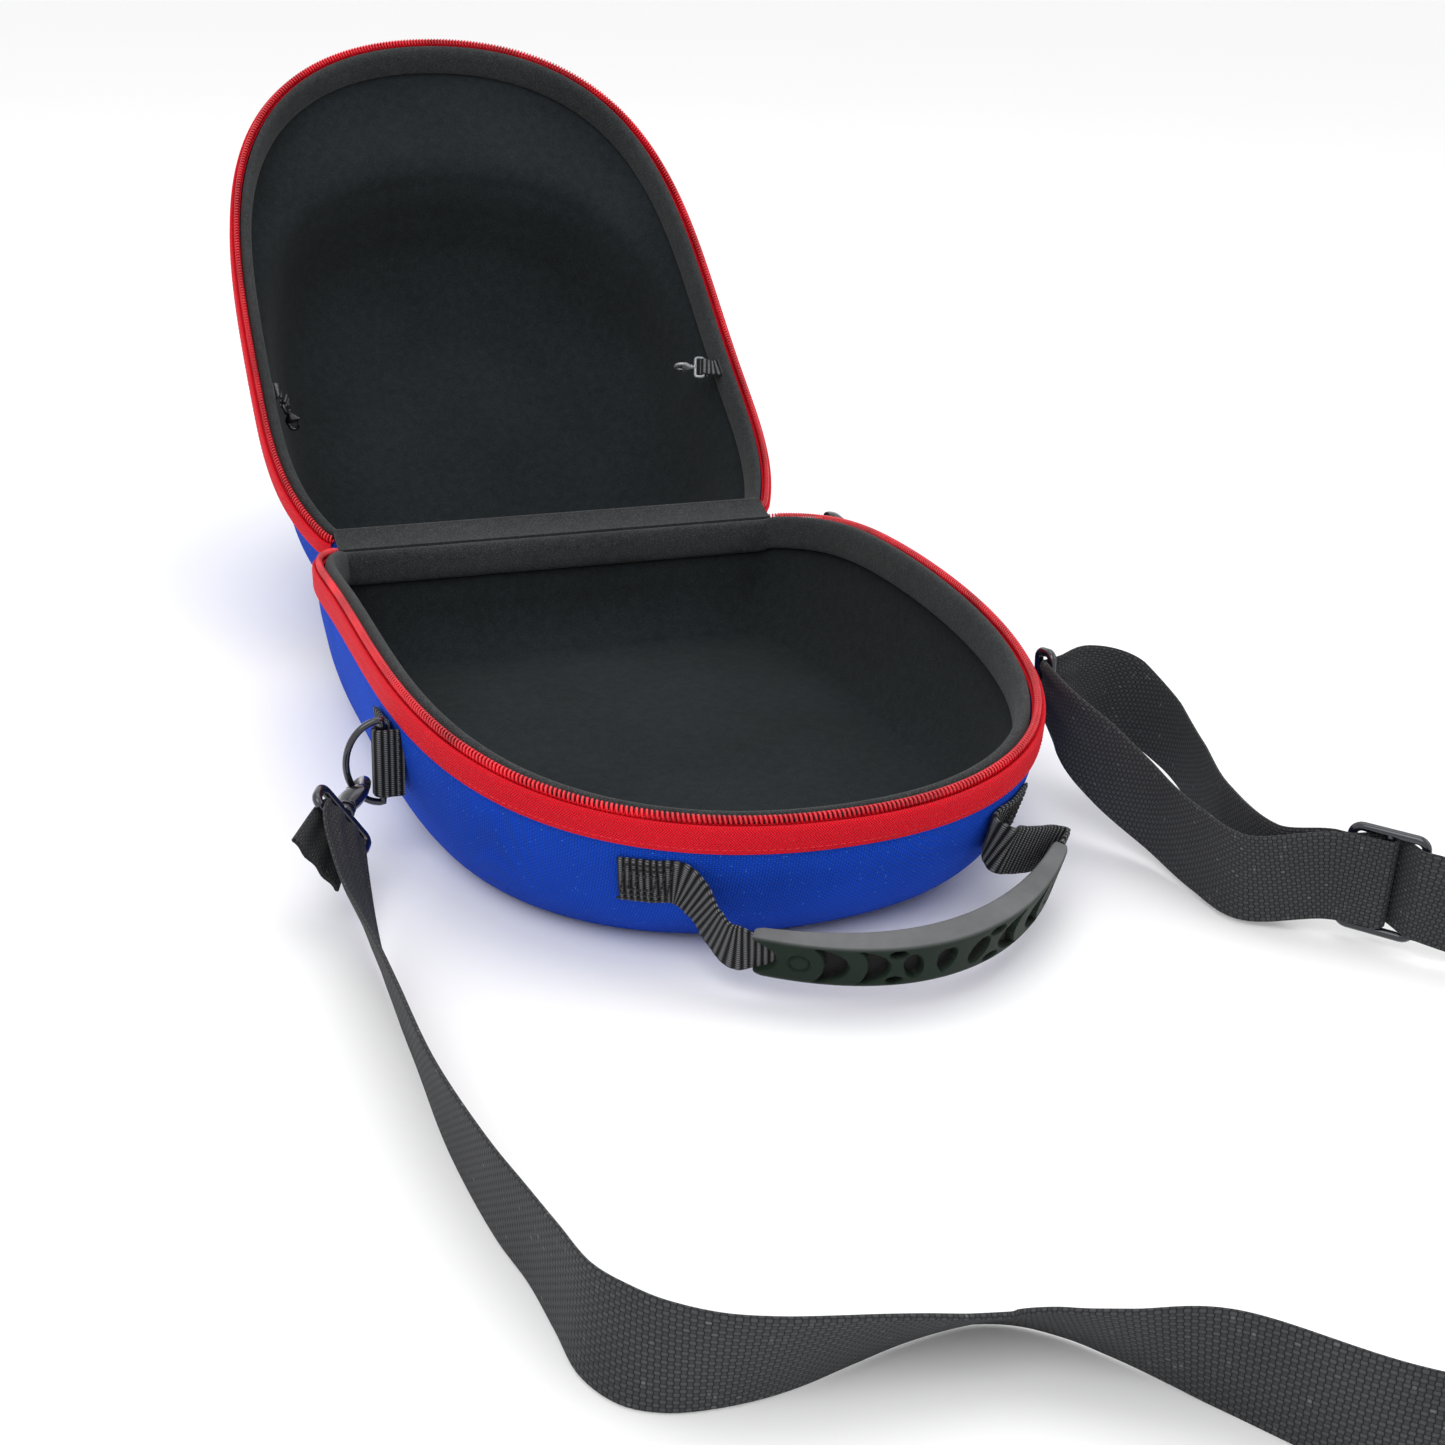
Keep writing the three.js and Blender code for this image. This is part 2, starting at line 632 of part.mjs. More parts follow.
function snapHookGeometry(hook) {
  const mouth = RING_WIRE / 2 + HOOK_MOUTH_ROOM;
  const nose = mouth + HOOK_NOSE;
  const neck = HOOK_EYE_REACH - HOOK_EYE_INSIDE - 3 * HOOK_WIRE;
  const body = new THREE.Shape();
  body.absarc(0, 0, nose, Math.PI * 0.3, Math.PI * 1.7, false);
  body.lineTo(neck, -nose * 0.5);
  body.lineTo(neck, nose * 0.5);
  const hole = new THREE.Path();
  hole.absarc(0, 0, mouth, 0, Math.PI * 2, true);
  body.holes.push(hole);
  const settings = { depth: HOOK_THICKNESS, bevelEnabled: false, curveSegments: 10 };
  const plate = new THREE.ExtrudeGeometry(body, settings).translate(0, 0, -HOOK_THICKNESS / 2);
  const barrelEnd = HOOK_EYE_REACH - HOOK_EYE_INSIDE - HOOK_WIRE;
  const barrelLength = barrelEnd - neck + 2;
  const barrel = new THREE.CylinderGeometry(HOOK_THICKNESS * 0.6, HOOK_THICKNESS * 0.6, barrelLength, 10);
  barrel.rotateZ(Math.PI / 2).translate(barrelEnd - barrelLength / 2, 0, 0);
  const { place, way, flat, across } = hookFrame(hook);
  return placed(join(plate, barrel, hookEye()), place, way, flat, across);
}

function hookEye() {
  const far = HOOK_EYE_REACH;
  const near = far - HOOK_EYE_INSIDE - HOOK_WIRE;
  const half = eyeHalfWidth();
  const corner = HOOK_WIRE * 0.5;
  const corners = [
    [near, -half + corner], [near + corner, -half], [far - corner, -half], [far, -half + corner],
    [far, half - corner], [far - corner, half], [near + corner, half], [near, half - corner],
  ];
  const path = corners.map(([x, z]) => new THREE.Vector3(x, 0, z));
  return wireLoop(path, HOOK_WIRE / 2, new THREE.Vector3(0, 1, 0), 8);
}

function eyeHalfWidth() {
  return GATHERED_WIDTH / 2 + HOOK_WIRE / 2 + 2 * GAP;
}

// Ribbons: a list of { place, across } stations swept by a flat section
function ribbon(stations, sectionAt) {
  const count = stations.length;
  const rings = stations.map((station, index) => {
    const before = stations[Math.max(0, index - 1)].place;
    const after = stations[Math.min(count - 1, index + 1)].place;
    const way = after.clone().sub(before).normalize();
    const { width, thickness } = sectionAt(station);
    const across = station.across.clone().addScaledVector(way, -station.across.dot(way));
    across.normalize().multiplyScalar(width / 2);
    const through = way.cross(across).normalize().multiplyScalar(thickness / 2);
    const corner = (a, t) => station.place.clone().addScaledVector(across, a).addScaledVector(through, t);
    return [corner(-1, -1), corner(1, -1), corner(1, 1), corner(-1, 1)];
  });
  return skin(rings, false);
}

// Smooth stations through the chosen ones, with more of them in the long stretches
function smoothStations(chosen, step) {
  const curve = new THREE.CatmullRomCurve3(chosen.map((s) => s.place), false, "centripetal");
  const spans = chosen.length - 1;
  const stations = [];
  for (let span = 0; span < spans; span += 1) {
    const [from, to] = [chosen[span], chosen[span + 1]];
    const pieces = Math.max(1, Math.round(from.place.distanceTo(to.place) / step));
    for (let index = 0; index < pieces; index += 1) {
      const share = index / pieces;
      const across = from.across.clone().lerp(to.across, share).normalize();
      const gather = THREE.MathUtils.lerp(from.gather ?? 0, to.gather ?? 0, share);
      stations.push({ place: curve.getPoint((span + share) / spans), across, gather });
    }
  }
  stations.push(chosen[spans]);
  return stations;
}

function leanedUp(before, after, lean) {
  const way = after.clone().sub(before).setZ(0).normalize();
  const left = new THREE.Vector3(-way.y, way.x, 0);
  const angle = THREE.MathUtils.degToRad(lean);
  return UP.clone().multiplyScalar(Math.cos(angle)).addScaledVector(left, Math.sin(angle));
}

function strapRow(row) {
  return new THREE.Vector3(row.across * RIM_WIDTH, row.along * RIM_LENGTH, row.lift * STRAP_WIDTH);
}

function strapRows(rows, first, last, onEdge) {
  const places = rows.map(strapRow);
  return rows.map((row, index) => {
    const before = index > 0 ? places[index - 1] : first;
    const after = index < rows.length - 1 ? places[index + 1] : last;
    const across = leanedUp(before, after, row.lean);
    const place = places[index].clone();
    if (onEdge) {
      place.addScaledVector(across, STRAP_WIDTH / 2);
      place.z += GAP + (STRAP_THICKNESS / 2) * Math.abs(Math.sin(THREE.MathUtils.degToRad(row.lean)));
    }
    return { place, across, gather: row.gather };
  });
}

// The band is gathered lengthwise where it passes a hook's eye
function strapSection(station) {
  const gather = station.gather ?? 0;
  return {
    width: THREE.MathUtils.lerp(STRAP_WIDTH, GATHERED_WIDTH, gather),
    thickness: THREE.MathUtils.lerp(STRAP_THICKNESS, GATHERED_THICKNESS, gather),
  };
}

// The strap folded through a hook's eye: stations from one layer round to the other,
// with the turn before the first layer in degrees
function foldStations(hook, turnSign, skipped) {
  const { place, way, flat, across } = hookFrame(hook);
  const radius = HOOK_WIRE / 2 + GAP + GATHERED_THICKNESS / 2;
  const centre = place.clone().addScaledVector(way, HOOK_EYE_REACH);
  const stations = [];
  const steps = 6;
  const first = THREE.MathUtils.degToRad(skipped);
  for (let step = 0; step <= steps; step += 1) {
    const angle = first + ((Math.PI - first) * step) / steps;
    stations.push({
      place: centre.clone()
        .addScaledVector(flat, turnSign * radius * Math.cos(angle))
        .addScaledVector(way, -radius * Math.sin(angle)),
      across: across.clone(),
      gather: 1,
    });
  }
  return { stations, centre, way, flat, across, radius };
}

function besideFold(fold, distance, sideways, gather) {
  return {
    place: fold.centre.clone()
      .addScaledVector(fold.way, distance)
      .addScaledVector(fold.flat, sideways),
    across: fold.across.clone(),
    gather,
  };
}

const STRAP_TAIL = 20;
const SLIDER_ALONG = 0.075;

function sliderFrame() {
  const arrival = strapRow(STRAP_FLOOR[STRAP_FLOOR.length - 1]);
  const leave = strapRow(STRAP_UPPER[0]);
  const way = leave.clone().sub(arrival).setZ(0).normalize();
  const middle = arrival.clone().lerp(leave, 0.5);
  middle.z = SLIDER_ALONG * RIM_LENGTH;
  return { middle, way, across: UP.clone(), through: way.clone().cross(UP).normalize() };
}

// The strap's way through the slider: past the first bar, over the middle one, past the last
function sliderStations(frame) {
  const beside = SLIDER_BAR / 2 + 3 * GAP + STRAP_THICKNESS / 2;
  const over = beside + STRAP_THICKNESS + GAP;
  const far = SLIDER_BAR_PITCH + SLIDER_BAR;
  const rows = [
    [-far, -beside], [-SLIDER_BAR_PITCH, -beside], [-SLIDER_BAR / 2, over], [SLIDER_BAR / 2, over],
    [SLIDER_BAR_PITCH, -beside], [far, -beside],
  ];
  return rows.map((row) => besideSlider(frame, ...row));
}

// The strap's end: it comes in beside the last bar and is turned back round the middle one
function endStations(frame) {
  const radius = SLIDER_BAR / 2 + GAP + STRAP_THICKNESS / 2;
  const under = radius + STRAP_THICKNESS + 4 * GAP;
  const stations = [besideSlider(frame, SLIDER_BAR_PITCH + SLIDER_BAR, -under)];
  for (const degrees of [-75, -105, -140, -180, -220, -260]) {
    const angle = THREE.MathUtils.degToRad(degrees);
    stations.push(besideSlider(frame, radius * Math.cos(angle), radius * Math.sin(angle)));
  }
  return stations;
}

function besideSlider(frame, along, through) {
  return {
    place: frame.middle.clone()
      .addScaledVector(frame.way, along)
      .addScaledVector(frame.through, through),
    across: frame.across.clone(),
  };
}

function strapStations() {
  const [left, right] = HOOKS;
  const leftFold = foldStations(left, -1, 0);
  const rightFold = foldStations(right, 1, 90);
  const frame = sliderFrame();
  const slide = sliderStations(frame);
  const end = endStations(frame);
  const floorRows = strapRows(STRAP_FLOOR, leftFold.centre, slide[0].place, true);
  const upperRows = strapRows(STRAP_UPPER, slide[5].place, rightFold.centre, false);
  const lowerRows = strapRows(STRAP_LOWER, rightFold.centre, end[0].place, false);
  return [
    besideFold(leftFold, STRAP_TAIL, -leftFold.radius - 1, 0.7),
    ...leftFold.stations,
    besideFold(leftFold, HOOK_WIRE * 1.6, leftFold.radius + 0.4, 0.9),
    ...floorRows,
    ...slide,
    ...upperRows,
    besideFold(rightFold, -rightFold.radius, HOOK_WIRE * 2, 0.8),
    ...rightFold.stations,
    ...lowerRows,
    ...end,
  ];
}

function strapGeometry() {
  return ribbon(smoothStations(strapStations(), STRAP_STEP), strapSection);
}

function strapSliderGeometry() {
  const frame = sliderFrame();
  const half = STRAP_WIDTH / 2 + GAP;
  const railLength = 2 * SLIDER_BAR_PITCH + SLIDER_BAR;
  const bar = new THREE.CylinderGeometry(SLIDER_BAR / 2, SLIDER_BAR / 2, 2 * half + 1, 10);
  bar.rotateX(Math.PI / 2);
  const bars = [-1, 0, 1].map((index) => bar.clone().translate(index * SLIDER_BAR_PITCH, 0, 0));
  const rails = [-1, 1].map((side) => new THREE.BoxGeometry(railLength, SLIDER_BAR, SLIDER_BAR)
    .translate(0, 0, side * (half + SLIDER_BAR / 2)));
  const turned = frame.through.clone().negate();
  return placed(join(...bars, ...rails), frame.middle, frame.way, turned, frame.across);
}

// Handle
function gripPoint(share) {
  return new THREE.Vector3(
    GRIP_SHIFT + GRIP_HALF_SPAN * share,
    -RIM_LENGTH / 2 + GRIP_END_REACH - GRIP_BOW * (1 - share * share) + GRIP_SKEW * share,
    GRIP_RISE,
  );
}

function gripFrame(share) {
  const ahead = gripPoint(share + 0.01).sub(gripPoint(share - 0.01)).normalize();
  const level = new THREE.Vector3(ahead.y, -ahead.x, 0);
  const lean = THREE.MathUtils.degToRad(GRIP_LEAN);
  const outward = level.clone().multiplyScalar(Math.cos(lean)).addScaledVector(UP, -Math.sin(lean));
  const up = level.multiplyScalar(Math.sin(lean)).addScaledVector(UP, Math.cos(lean));
  const thin = GRIP_MIDDLE_THICKNESS - GRIP_END_THICKNESS;
  const thickness = GRIP_MIDDLE_THICKNESS - thin * share * share;
  return { place: gripPoint(share), ahead, outward, up, thickness };
}

function gripGeometry() {
  const steps = 14;
  const rings = [];
  for (let step = 0; step <= steps; step += 1) {
    const frame = gripFrame(-1 + (2 * step) / steps);
    const half = frame.thickness / 2;
    const tall = GRIP_HEIGHT / 2;
    const corner = Math.min(half, tall) * 0.45;
    const points = [
      [half, -tall + corner], [half, tall - corner], [half - corner, tall], [corner - half, tall],
      [-half, tall - corner], [-half, corner - tall], [corner - half, -tall], [half - corner, -tall],
    ];
    rings.push(points.map(([out, up]) => frame.place.clone()
      .addScaledVector(frame.outward, out)
      .addScaledVector(frame.up, up)));
  }
  return cut(skin(rings, false), ...GRIP_POCKETS.map(gripPocket));
}

function gripPocket(row) {
  const frame = gripFrame(row.along);
  const pocket = new THREE.CylinderGeometry(1, 1, GRIP_POCKET_DEPTH * 2, 12).rotateX(Math.PI / 2);
  pocket.scale(row.length * GRIP_HALF_SPAN, row.height * GRIP_HEIGHT, 1);
  const place = frame.place.clone().addScaledVector(frame.outward, frame.thickness / 2);
  const flat = frame.ahead.clone().cross(frame.up).normalize();
  return placed(pocket, place, frame.ahead, frame.up, flat);
}

function handleTabGeometry(side) {
  const grown = grownBase(GAP + HANDLE_WEB_THICKNESS);
  const seat = new THREE.BoxGeometry(HANDLE_PATCH, RIM_LENGTH / 3, HANDLE_WEB_WIDTH);
  seat.translate(handlePatchEdge(side) + (side * HANDLE_PATCH) / 2, -RIM_LENGTH / 2, HANDLE_RISE);
  const patch = toSolid(grown).intersect(toSolid(seat));
  const web = toSolid(handleWeb(side));
  return fromSolid(patch.add(web).subtract(toSolid(grownBase(GAP))));
}

// The sewn patch's edge that faces its fellow, where the web leaves the wall
function handlePatchEdge(side) {
  return side * (HANDLE_SEAT - HANDLE_PATCH) + HANDLE_SHIFT;
}

// The left web runs straight to the grip. The right one doubles back to reach it
function handleWeb(side) {
  const end = gripFrame(side);
  const from = wallPlace(handlePatchEdge(side) + (side * HANDLE_PATCH) / 4, HANDLE_RISE);
  const edge = wallPlace(handlePatchEdge(side), HANDLE_RISE);
  const clear = new THREE.Vector3(0, -GAP - HANDLE_WEB_THICKNESS / 2, 0);
  const to = end.place.clone().addScaledVector(end.ahead, side * (GAP * 3));
  const bend = to.clone().addScaledVector(end.ahead, side * GRIP_HEIGHT * (side < 0 ? 0.6 : 0.5));
  const places = [from.add(clear), edge.add(clear)];
  if (side > 0) {
    const turn = edge.clone().add(new THREE.Vector3(-HANDLE_TURN * 0.1, -HANDLE_TURN, -HANDLE_TURN * 0.4));
    const middle = turn.clone().lerp(bend, 0.55).add(new THREE.Vector3(0, HANDLE_TURN * 0.25, 0));
    places.push(turn, middle);
  }
  places.push(bend, to);
  const chosen = places.map((place, index) => ({
    place,
    across: index === places.length - 1 ? end.up : UP.clone(),
  }));
  const section = { width: HANDLE_WEB_WIDTH * 0.96, thickness: HANDLE_WEB_THICKNESS };
  return ribbon(smoothStations(chosen, 4), () => section);
}

// A point on the base's outer wall at a given x on the front, and height
function wallPlace(x, z) {
  const widest = RIM_LENGTH * WIDEST_SHARE;
  const front = STATIONS.filter((s) => s.v > widest && Math.sign(s.x || x) === Math.sign(x));
  const points = front.map((s) => wallPoint(BASE, s, 1 - z / (BASE_HEIGHT + s.bow)));
  points.sort((a, b) => Math.abs(a.x) - Math.abs(b.x));
  const next = Math.max(1, points.findIndex((p) => Math.abs(p.x) >= Math.abs(x)));
  const [low, high] = [points[next - 1], points[next]];
  const blend = (x - low.x) / (high.x - low.x);
  return new THREE.Vector3(x, low.y + (high.y - low.y) * blend + HINGE_Y, z);
}

// The zip's slider with its pull, parked at the right end of the zip
function zipSliderGeometry() {
  const station = STATIONS[LAST_ZIP - 1];
  const outward = new THREE.Vector3(station.nx, station.ny, 0);
  const along = new THREE.Vector3(station.ny, -station.nx, 0);
  const place = rimPoint(BASE, station, -GAP - ZIP_SLIDER_DEPTH / 2, GAP + ZIP_SLIDER_HEIGHT / 2);
  const body = new THREE.BoxGeometry(ZIP_SLIDER_WIDTH, ZIP_SLIDER_DEPTH, ZIP_SLIDER_HEIGHT);
  const pull = new THREE.BoxGeometry(ZIP_SLIDER_WIDTH * 0.5, ZIP_SLIDER_DEPTH * 0.4, ZIP_PULL_LENGTH);
  pull.translate(0, ZIP_SLIDER_DEPTH * 0.25, -ZIP_PULL_LENGTH / 2);
  return inBaseFrame(placed(join(body, pull), place, along, outward, UP));
}

// Tabs and clips inside the lid, in the hinge's frame
function lidTabFrame(side) {
  const inset = SKIN_INSET + SHELL_THICKNESS + BINDING_THICKNESS + 3 * GAP;
  const widest = STATIONS[BACK_SHARES.length];
  const place = stripPoint(LID, widest, inset, LID_TAB_DROP);
  place.x *= -side;
  return { place, inward: new THREE.Vector3(-side, 0, 0) };
}

function lidTabGeometry(side) {
  const { place, inward } = lidTabFrame(side);
  const web = new THREE.BoxGeometry(LID_TAB_LENGTH, LID_TAB_WIDTH, LID_TAB_THICKNESS);
  const middle = place.clone().addScaledVector(inward, GAP + LID_TAB_LENGTH / 2);
  return web.translate(middle.x, middle.y, middle.z + LID_TAB_THICKNESS);
}

function lidClipGeometry(side) {
  const { place, inward } = lidTabFrame(side);
  const start = 2 * GAP + LID_TAB_LENGTH;
  const block = new THREE.BoxGeometry(LID_CLIP_LENGTH, LID_TAB_WIDTH * 1.1, LID_CLIP_THICKNESS);
  const notch = new THREE.BoxGeometry(LID_CLIP_LENGTH * 0.5, LID_TAB_WIDTH * 0.4, LID_CLIP_THICKNESS * 2);
  notch.translate(-side * LID_CLIP_LENGTH * 0.4, 0, 0);
  const middle = place.clone().addScaledVector(inward, start + LID_CLIP_LENGTH / 2);
  return cut(block, notch).translate(middle.x, middle.y, middle.z + LID_TAB_THICKNESS);
}

// The lid hangs back until it rests on the table
function openAngle() {
  const corners = wallRings(LID, 0).flat();
  const lowest = (angle) => Math.min(...corners.map((p) => p.z * Math.cos(angle) - p.y * Math.sin(angle)));
  let closed = Math.PI / 2;
  let open = Math.PI;
  for (let step = 0; step < 40; step += 1) {
    const middle = (closed + open) / 2;
    if (BASE_HEIGHT + lowest(middle) > LID_FLOOR_CLEARANCE) closed = middle;
    else open = middle;
  }
  return closed;
}

// Assembly
function piece(name, geometry, finish) {
  const mesh = new THREE.Mesh(geometry, new THREE.MeshStandardMaterial(COLOURS[finish]));
  mesh.name = name;
  return mesh;
}

function halfPieces(prefix, half) {
  return [
    piece(`${prefix}_shell`, shellGeometry(half), "blueShell"),
    piece(`${prefix}_lining`, liningGeometry(half), "blackLining"),
    piece(`${prefix}_rim_binding`, bindingGeometry(half), "charcoalFelt"),
    piece(`${prefix}_zip_tape`, tapeGeometry(half), "redTape"),
    piece(`${prefix}_zip_teeth`, teethGeometry(half), "redTeeth"),
    piece(`hinge_strip_${prefix}`, hingeStripGeometry(half), "blackWeb"),
  ];
}

const group = new THREE.Group();

const baseRim = new THREE.Group();
baseRim.position.set(0, HINGE_Y, BASE_HEIGHT);
baseRim.add(...halfPieces("base", BASE));
group.add(baseRim);

for (const hook of HOOKS) {
  group.add(piece(`side_loop_${hook.name}`, sideLoopGeometry(hook.side), "blackWeb"));
  group.add(piece(`d_ring_${hook.name}`, dRingGeometry(hook), "blackMetal"));
  group.add(piece(`snap_hook_${hook.name}`, snapHookGeometry(hook), "blackMetal"));
  group.add(piece(`handle_tab_${hook.name}`, handleTabGeometry(hook.side), "blackWeb"));
}
group.add(piece("handle_grip", gripGeometry(), "greyGrip"));
group.add(piece("zip_slider", zipSliderGeometry(), "blackMetal"));
group.add(piece("shoulder_strap", strapGeometry(), "blackWeb"));
group.add(piece("strap_slider", strapSliderGeometry(), "blackMetal"));

const lid = new THREE.Group();
lid.position.set(0, HINGE_Y, BASE_HEIGHT);
lid.rotation.x = -openAngle();
lid.add(...halfPieces("lid", LID));
for (const hook of HOOKS) {
  lid.add(piece(`lid_tab_${hook.name}`, lidTabGeometry(hook.side), "blackWeb"));
  lid.add(piece(`lid_clip_${hook.name}`, lidClipGeometry(hook.side), "blackMetal"));
}
group.add(lid);

export default group;
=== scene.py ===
import math

import bmesh
import bpy
import numpy as np
from mathutils import Matrix, Vector


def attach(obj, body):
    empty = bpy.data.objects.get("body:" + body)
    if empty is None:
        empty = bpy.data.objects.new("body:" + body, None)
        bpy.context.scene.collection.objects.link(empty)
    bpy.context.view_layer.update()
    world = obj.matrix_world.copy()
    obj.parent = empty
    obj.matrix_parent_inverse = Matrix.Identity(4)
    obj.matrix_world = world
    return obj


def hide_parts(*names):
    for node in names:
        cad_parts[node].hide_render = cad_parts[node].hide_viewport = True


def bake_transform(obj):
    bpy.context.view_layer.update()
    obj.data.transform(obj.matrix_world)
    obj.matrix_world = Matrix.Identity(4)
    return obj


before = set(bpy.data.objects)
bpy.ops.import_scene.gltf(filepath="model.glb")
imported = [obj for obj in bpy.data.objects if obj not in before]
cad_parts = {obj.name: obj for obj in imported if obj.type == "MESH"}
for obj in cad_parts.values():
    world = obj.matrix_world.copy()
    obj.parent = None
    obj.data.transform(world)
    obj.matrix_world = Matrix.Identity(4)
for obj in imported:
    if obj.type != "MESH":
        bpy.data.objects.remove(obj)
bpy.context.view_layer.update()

bl_info = {
    "name": "Cap Carrier Case Looks",
    "version": (1, 0, 0),
    "blender": (4, 5, 0),
    "location": "3D View > Sidebar > Carrier Case",
    "description": "Dresses the packed carrier case in cloth, webbing, zip and metal",
    "category": "Object",
}

MM = 0.001

# Sizes of the case in millimetres, as in the part's source
RIM_WIDTH = 230.0
RIM_LENGTH = 290.0
HINGE_WIDTH = 196.0
WIDEST = RIM_LENGTH * 0.315
BACK_POWER = 3.06
FRONT_ACROSS = 2.14
FRONT_ALONG = 3.78
BOW = 14.0
BOW_SKEW = 5.0
HINGE_Y = RIM_LENGTH / 2
BASE_HEIGHT = 54.0
LID_DEPTH = 104.0
GAP = 0.3
TAPE = 1.0
SKIN = TAPE + GAP
SHELL = 3.0
SHELL_DROP = 4.8
LINING = 1.5
LINING_DROP = 15.6
LOOP_POINTS = 300
CORNER_ROUND = 7.0
OPEN_ANGLE = math.radians(140.06)

# Wall sections: share of the depth, then insets at the side, front and back
BASE_WALL = dict(
    sign=-1, height=BASE_HEIGHT, rounds=(22.0, 36.0, 24.0),
    depth=(0.0, 0.3, 0.45, 0.64, 0.8, 0.92, 0.98, 1.0),
    side=(0.0, 0.055, 0.13, 0.25, 0.42, 0.64, 0.82, 1.0),
    front=(0.0, 0.045, 0.11, 0.23, 0.4, 0.62, 0.81, 1.0),
    back=(0.0, 0.045, 0.08, 0.16, 0.34, 0.6, 0.8, 1.0),
)
LID_WALL = dict(
    sign=1, height=LID_DEPTH, rounds=(62.0, 112.0, 46.0),
    depth=(0.0, 0.19, 0.225, 0.265, 0.31, 0.4, 0.58, 0.75, 0.88, 0.96, 1.0),
    side=(0.0, 0.03, 0.06, 0.1, 0.13, 0.17, 0.23, 0.34, 0.53, 0.76, 1.0),
    front=(0.0, 0.045, 0.12, 0.24, 0.42, 0.5, 0.56, 0.63, 0.75, 0.88, 1.0),
    back=(0.0, 0.02, 0.04, 0.06, 0.09, 0.13, 0.21, 0.34, 0.54, 0.77, 1.0),
)

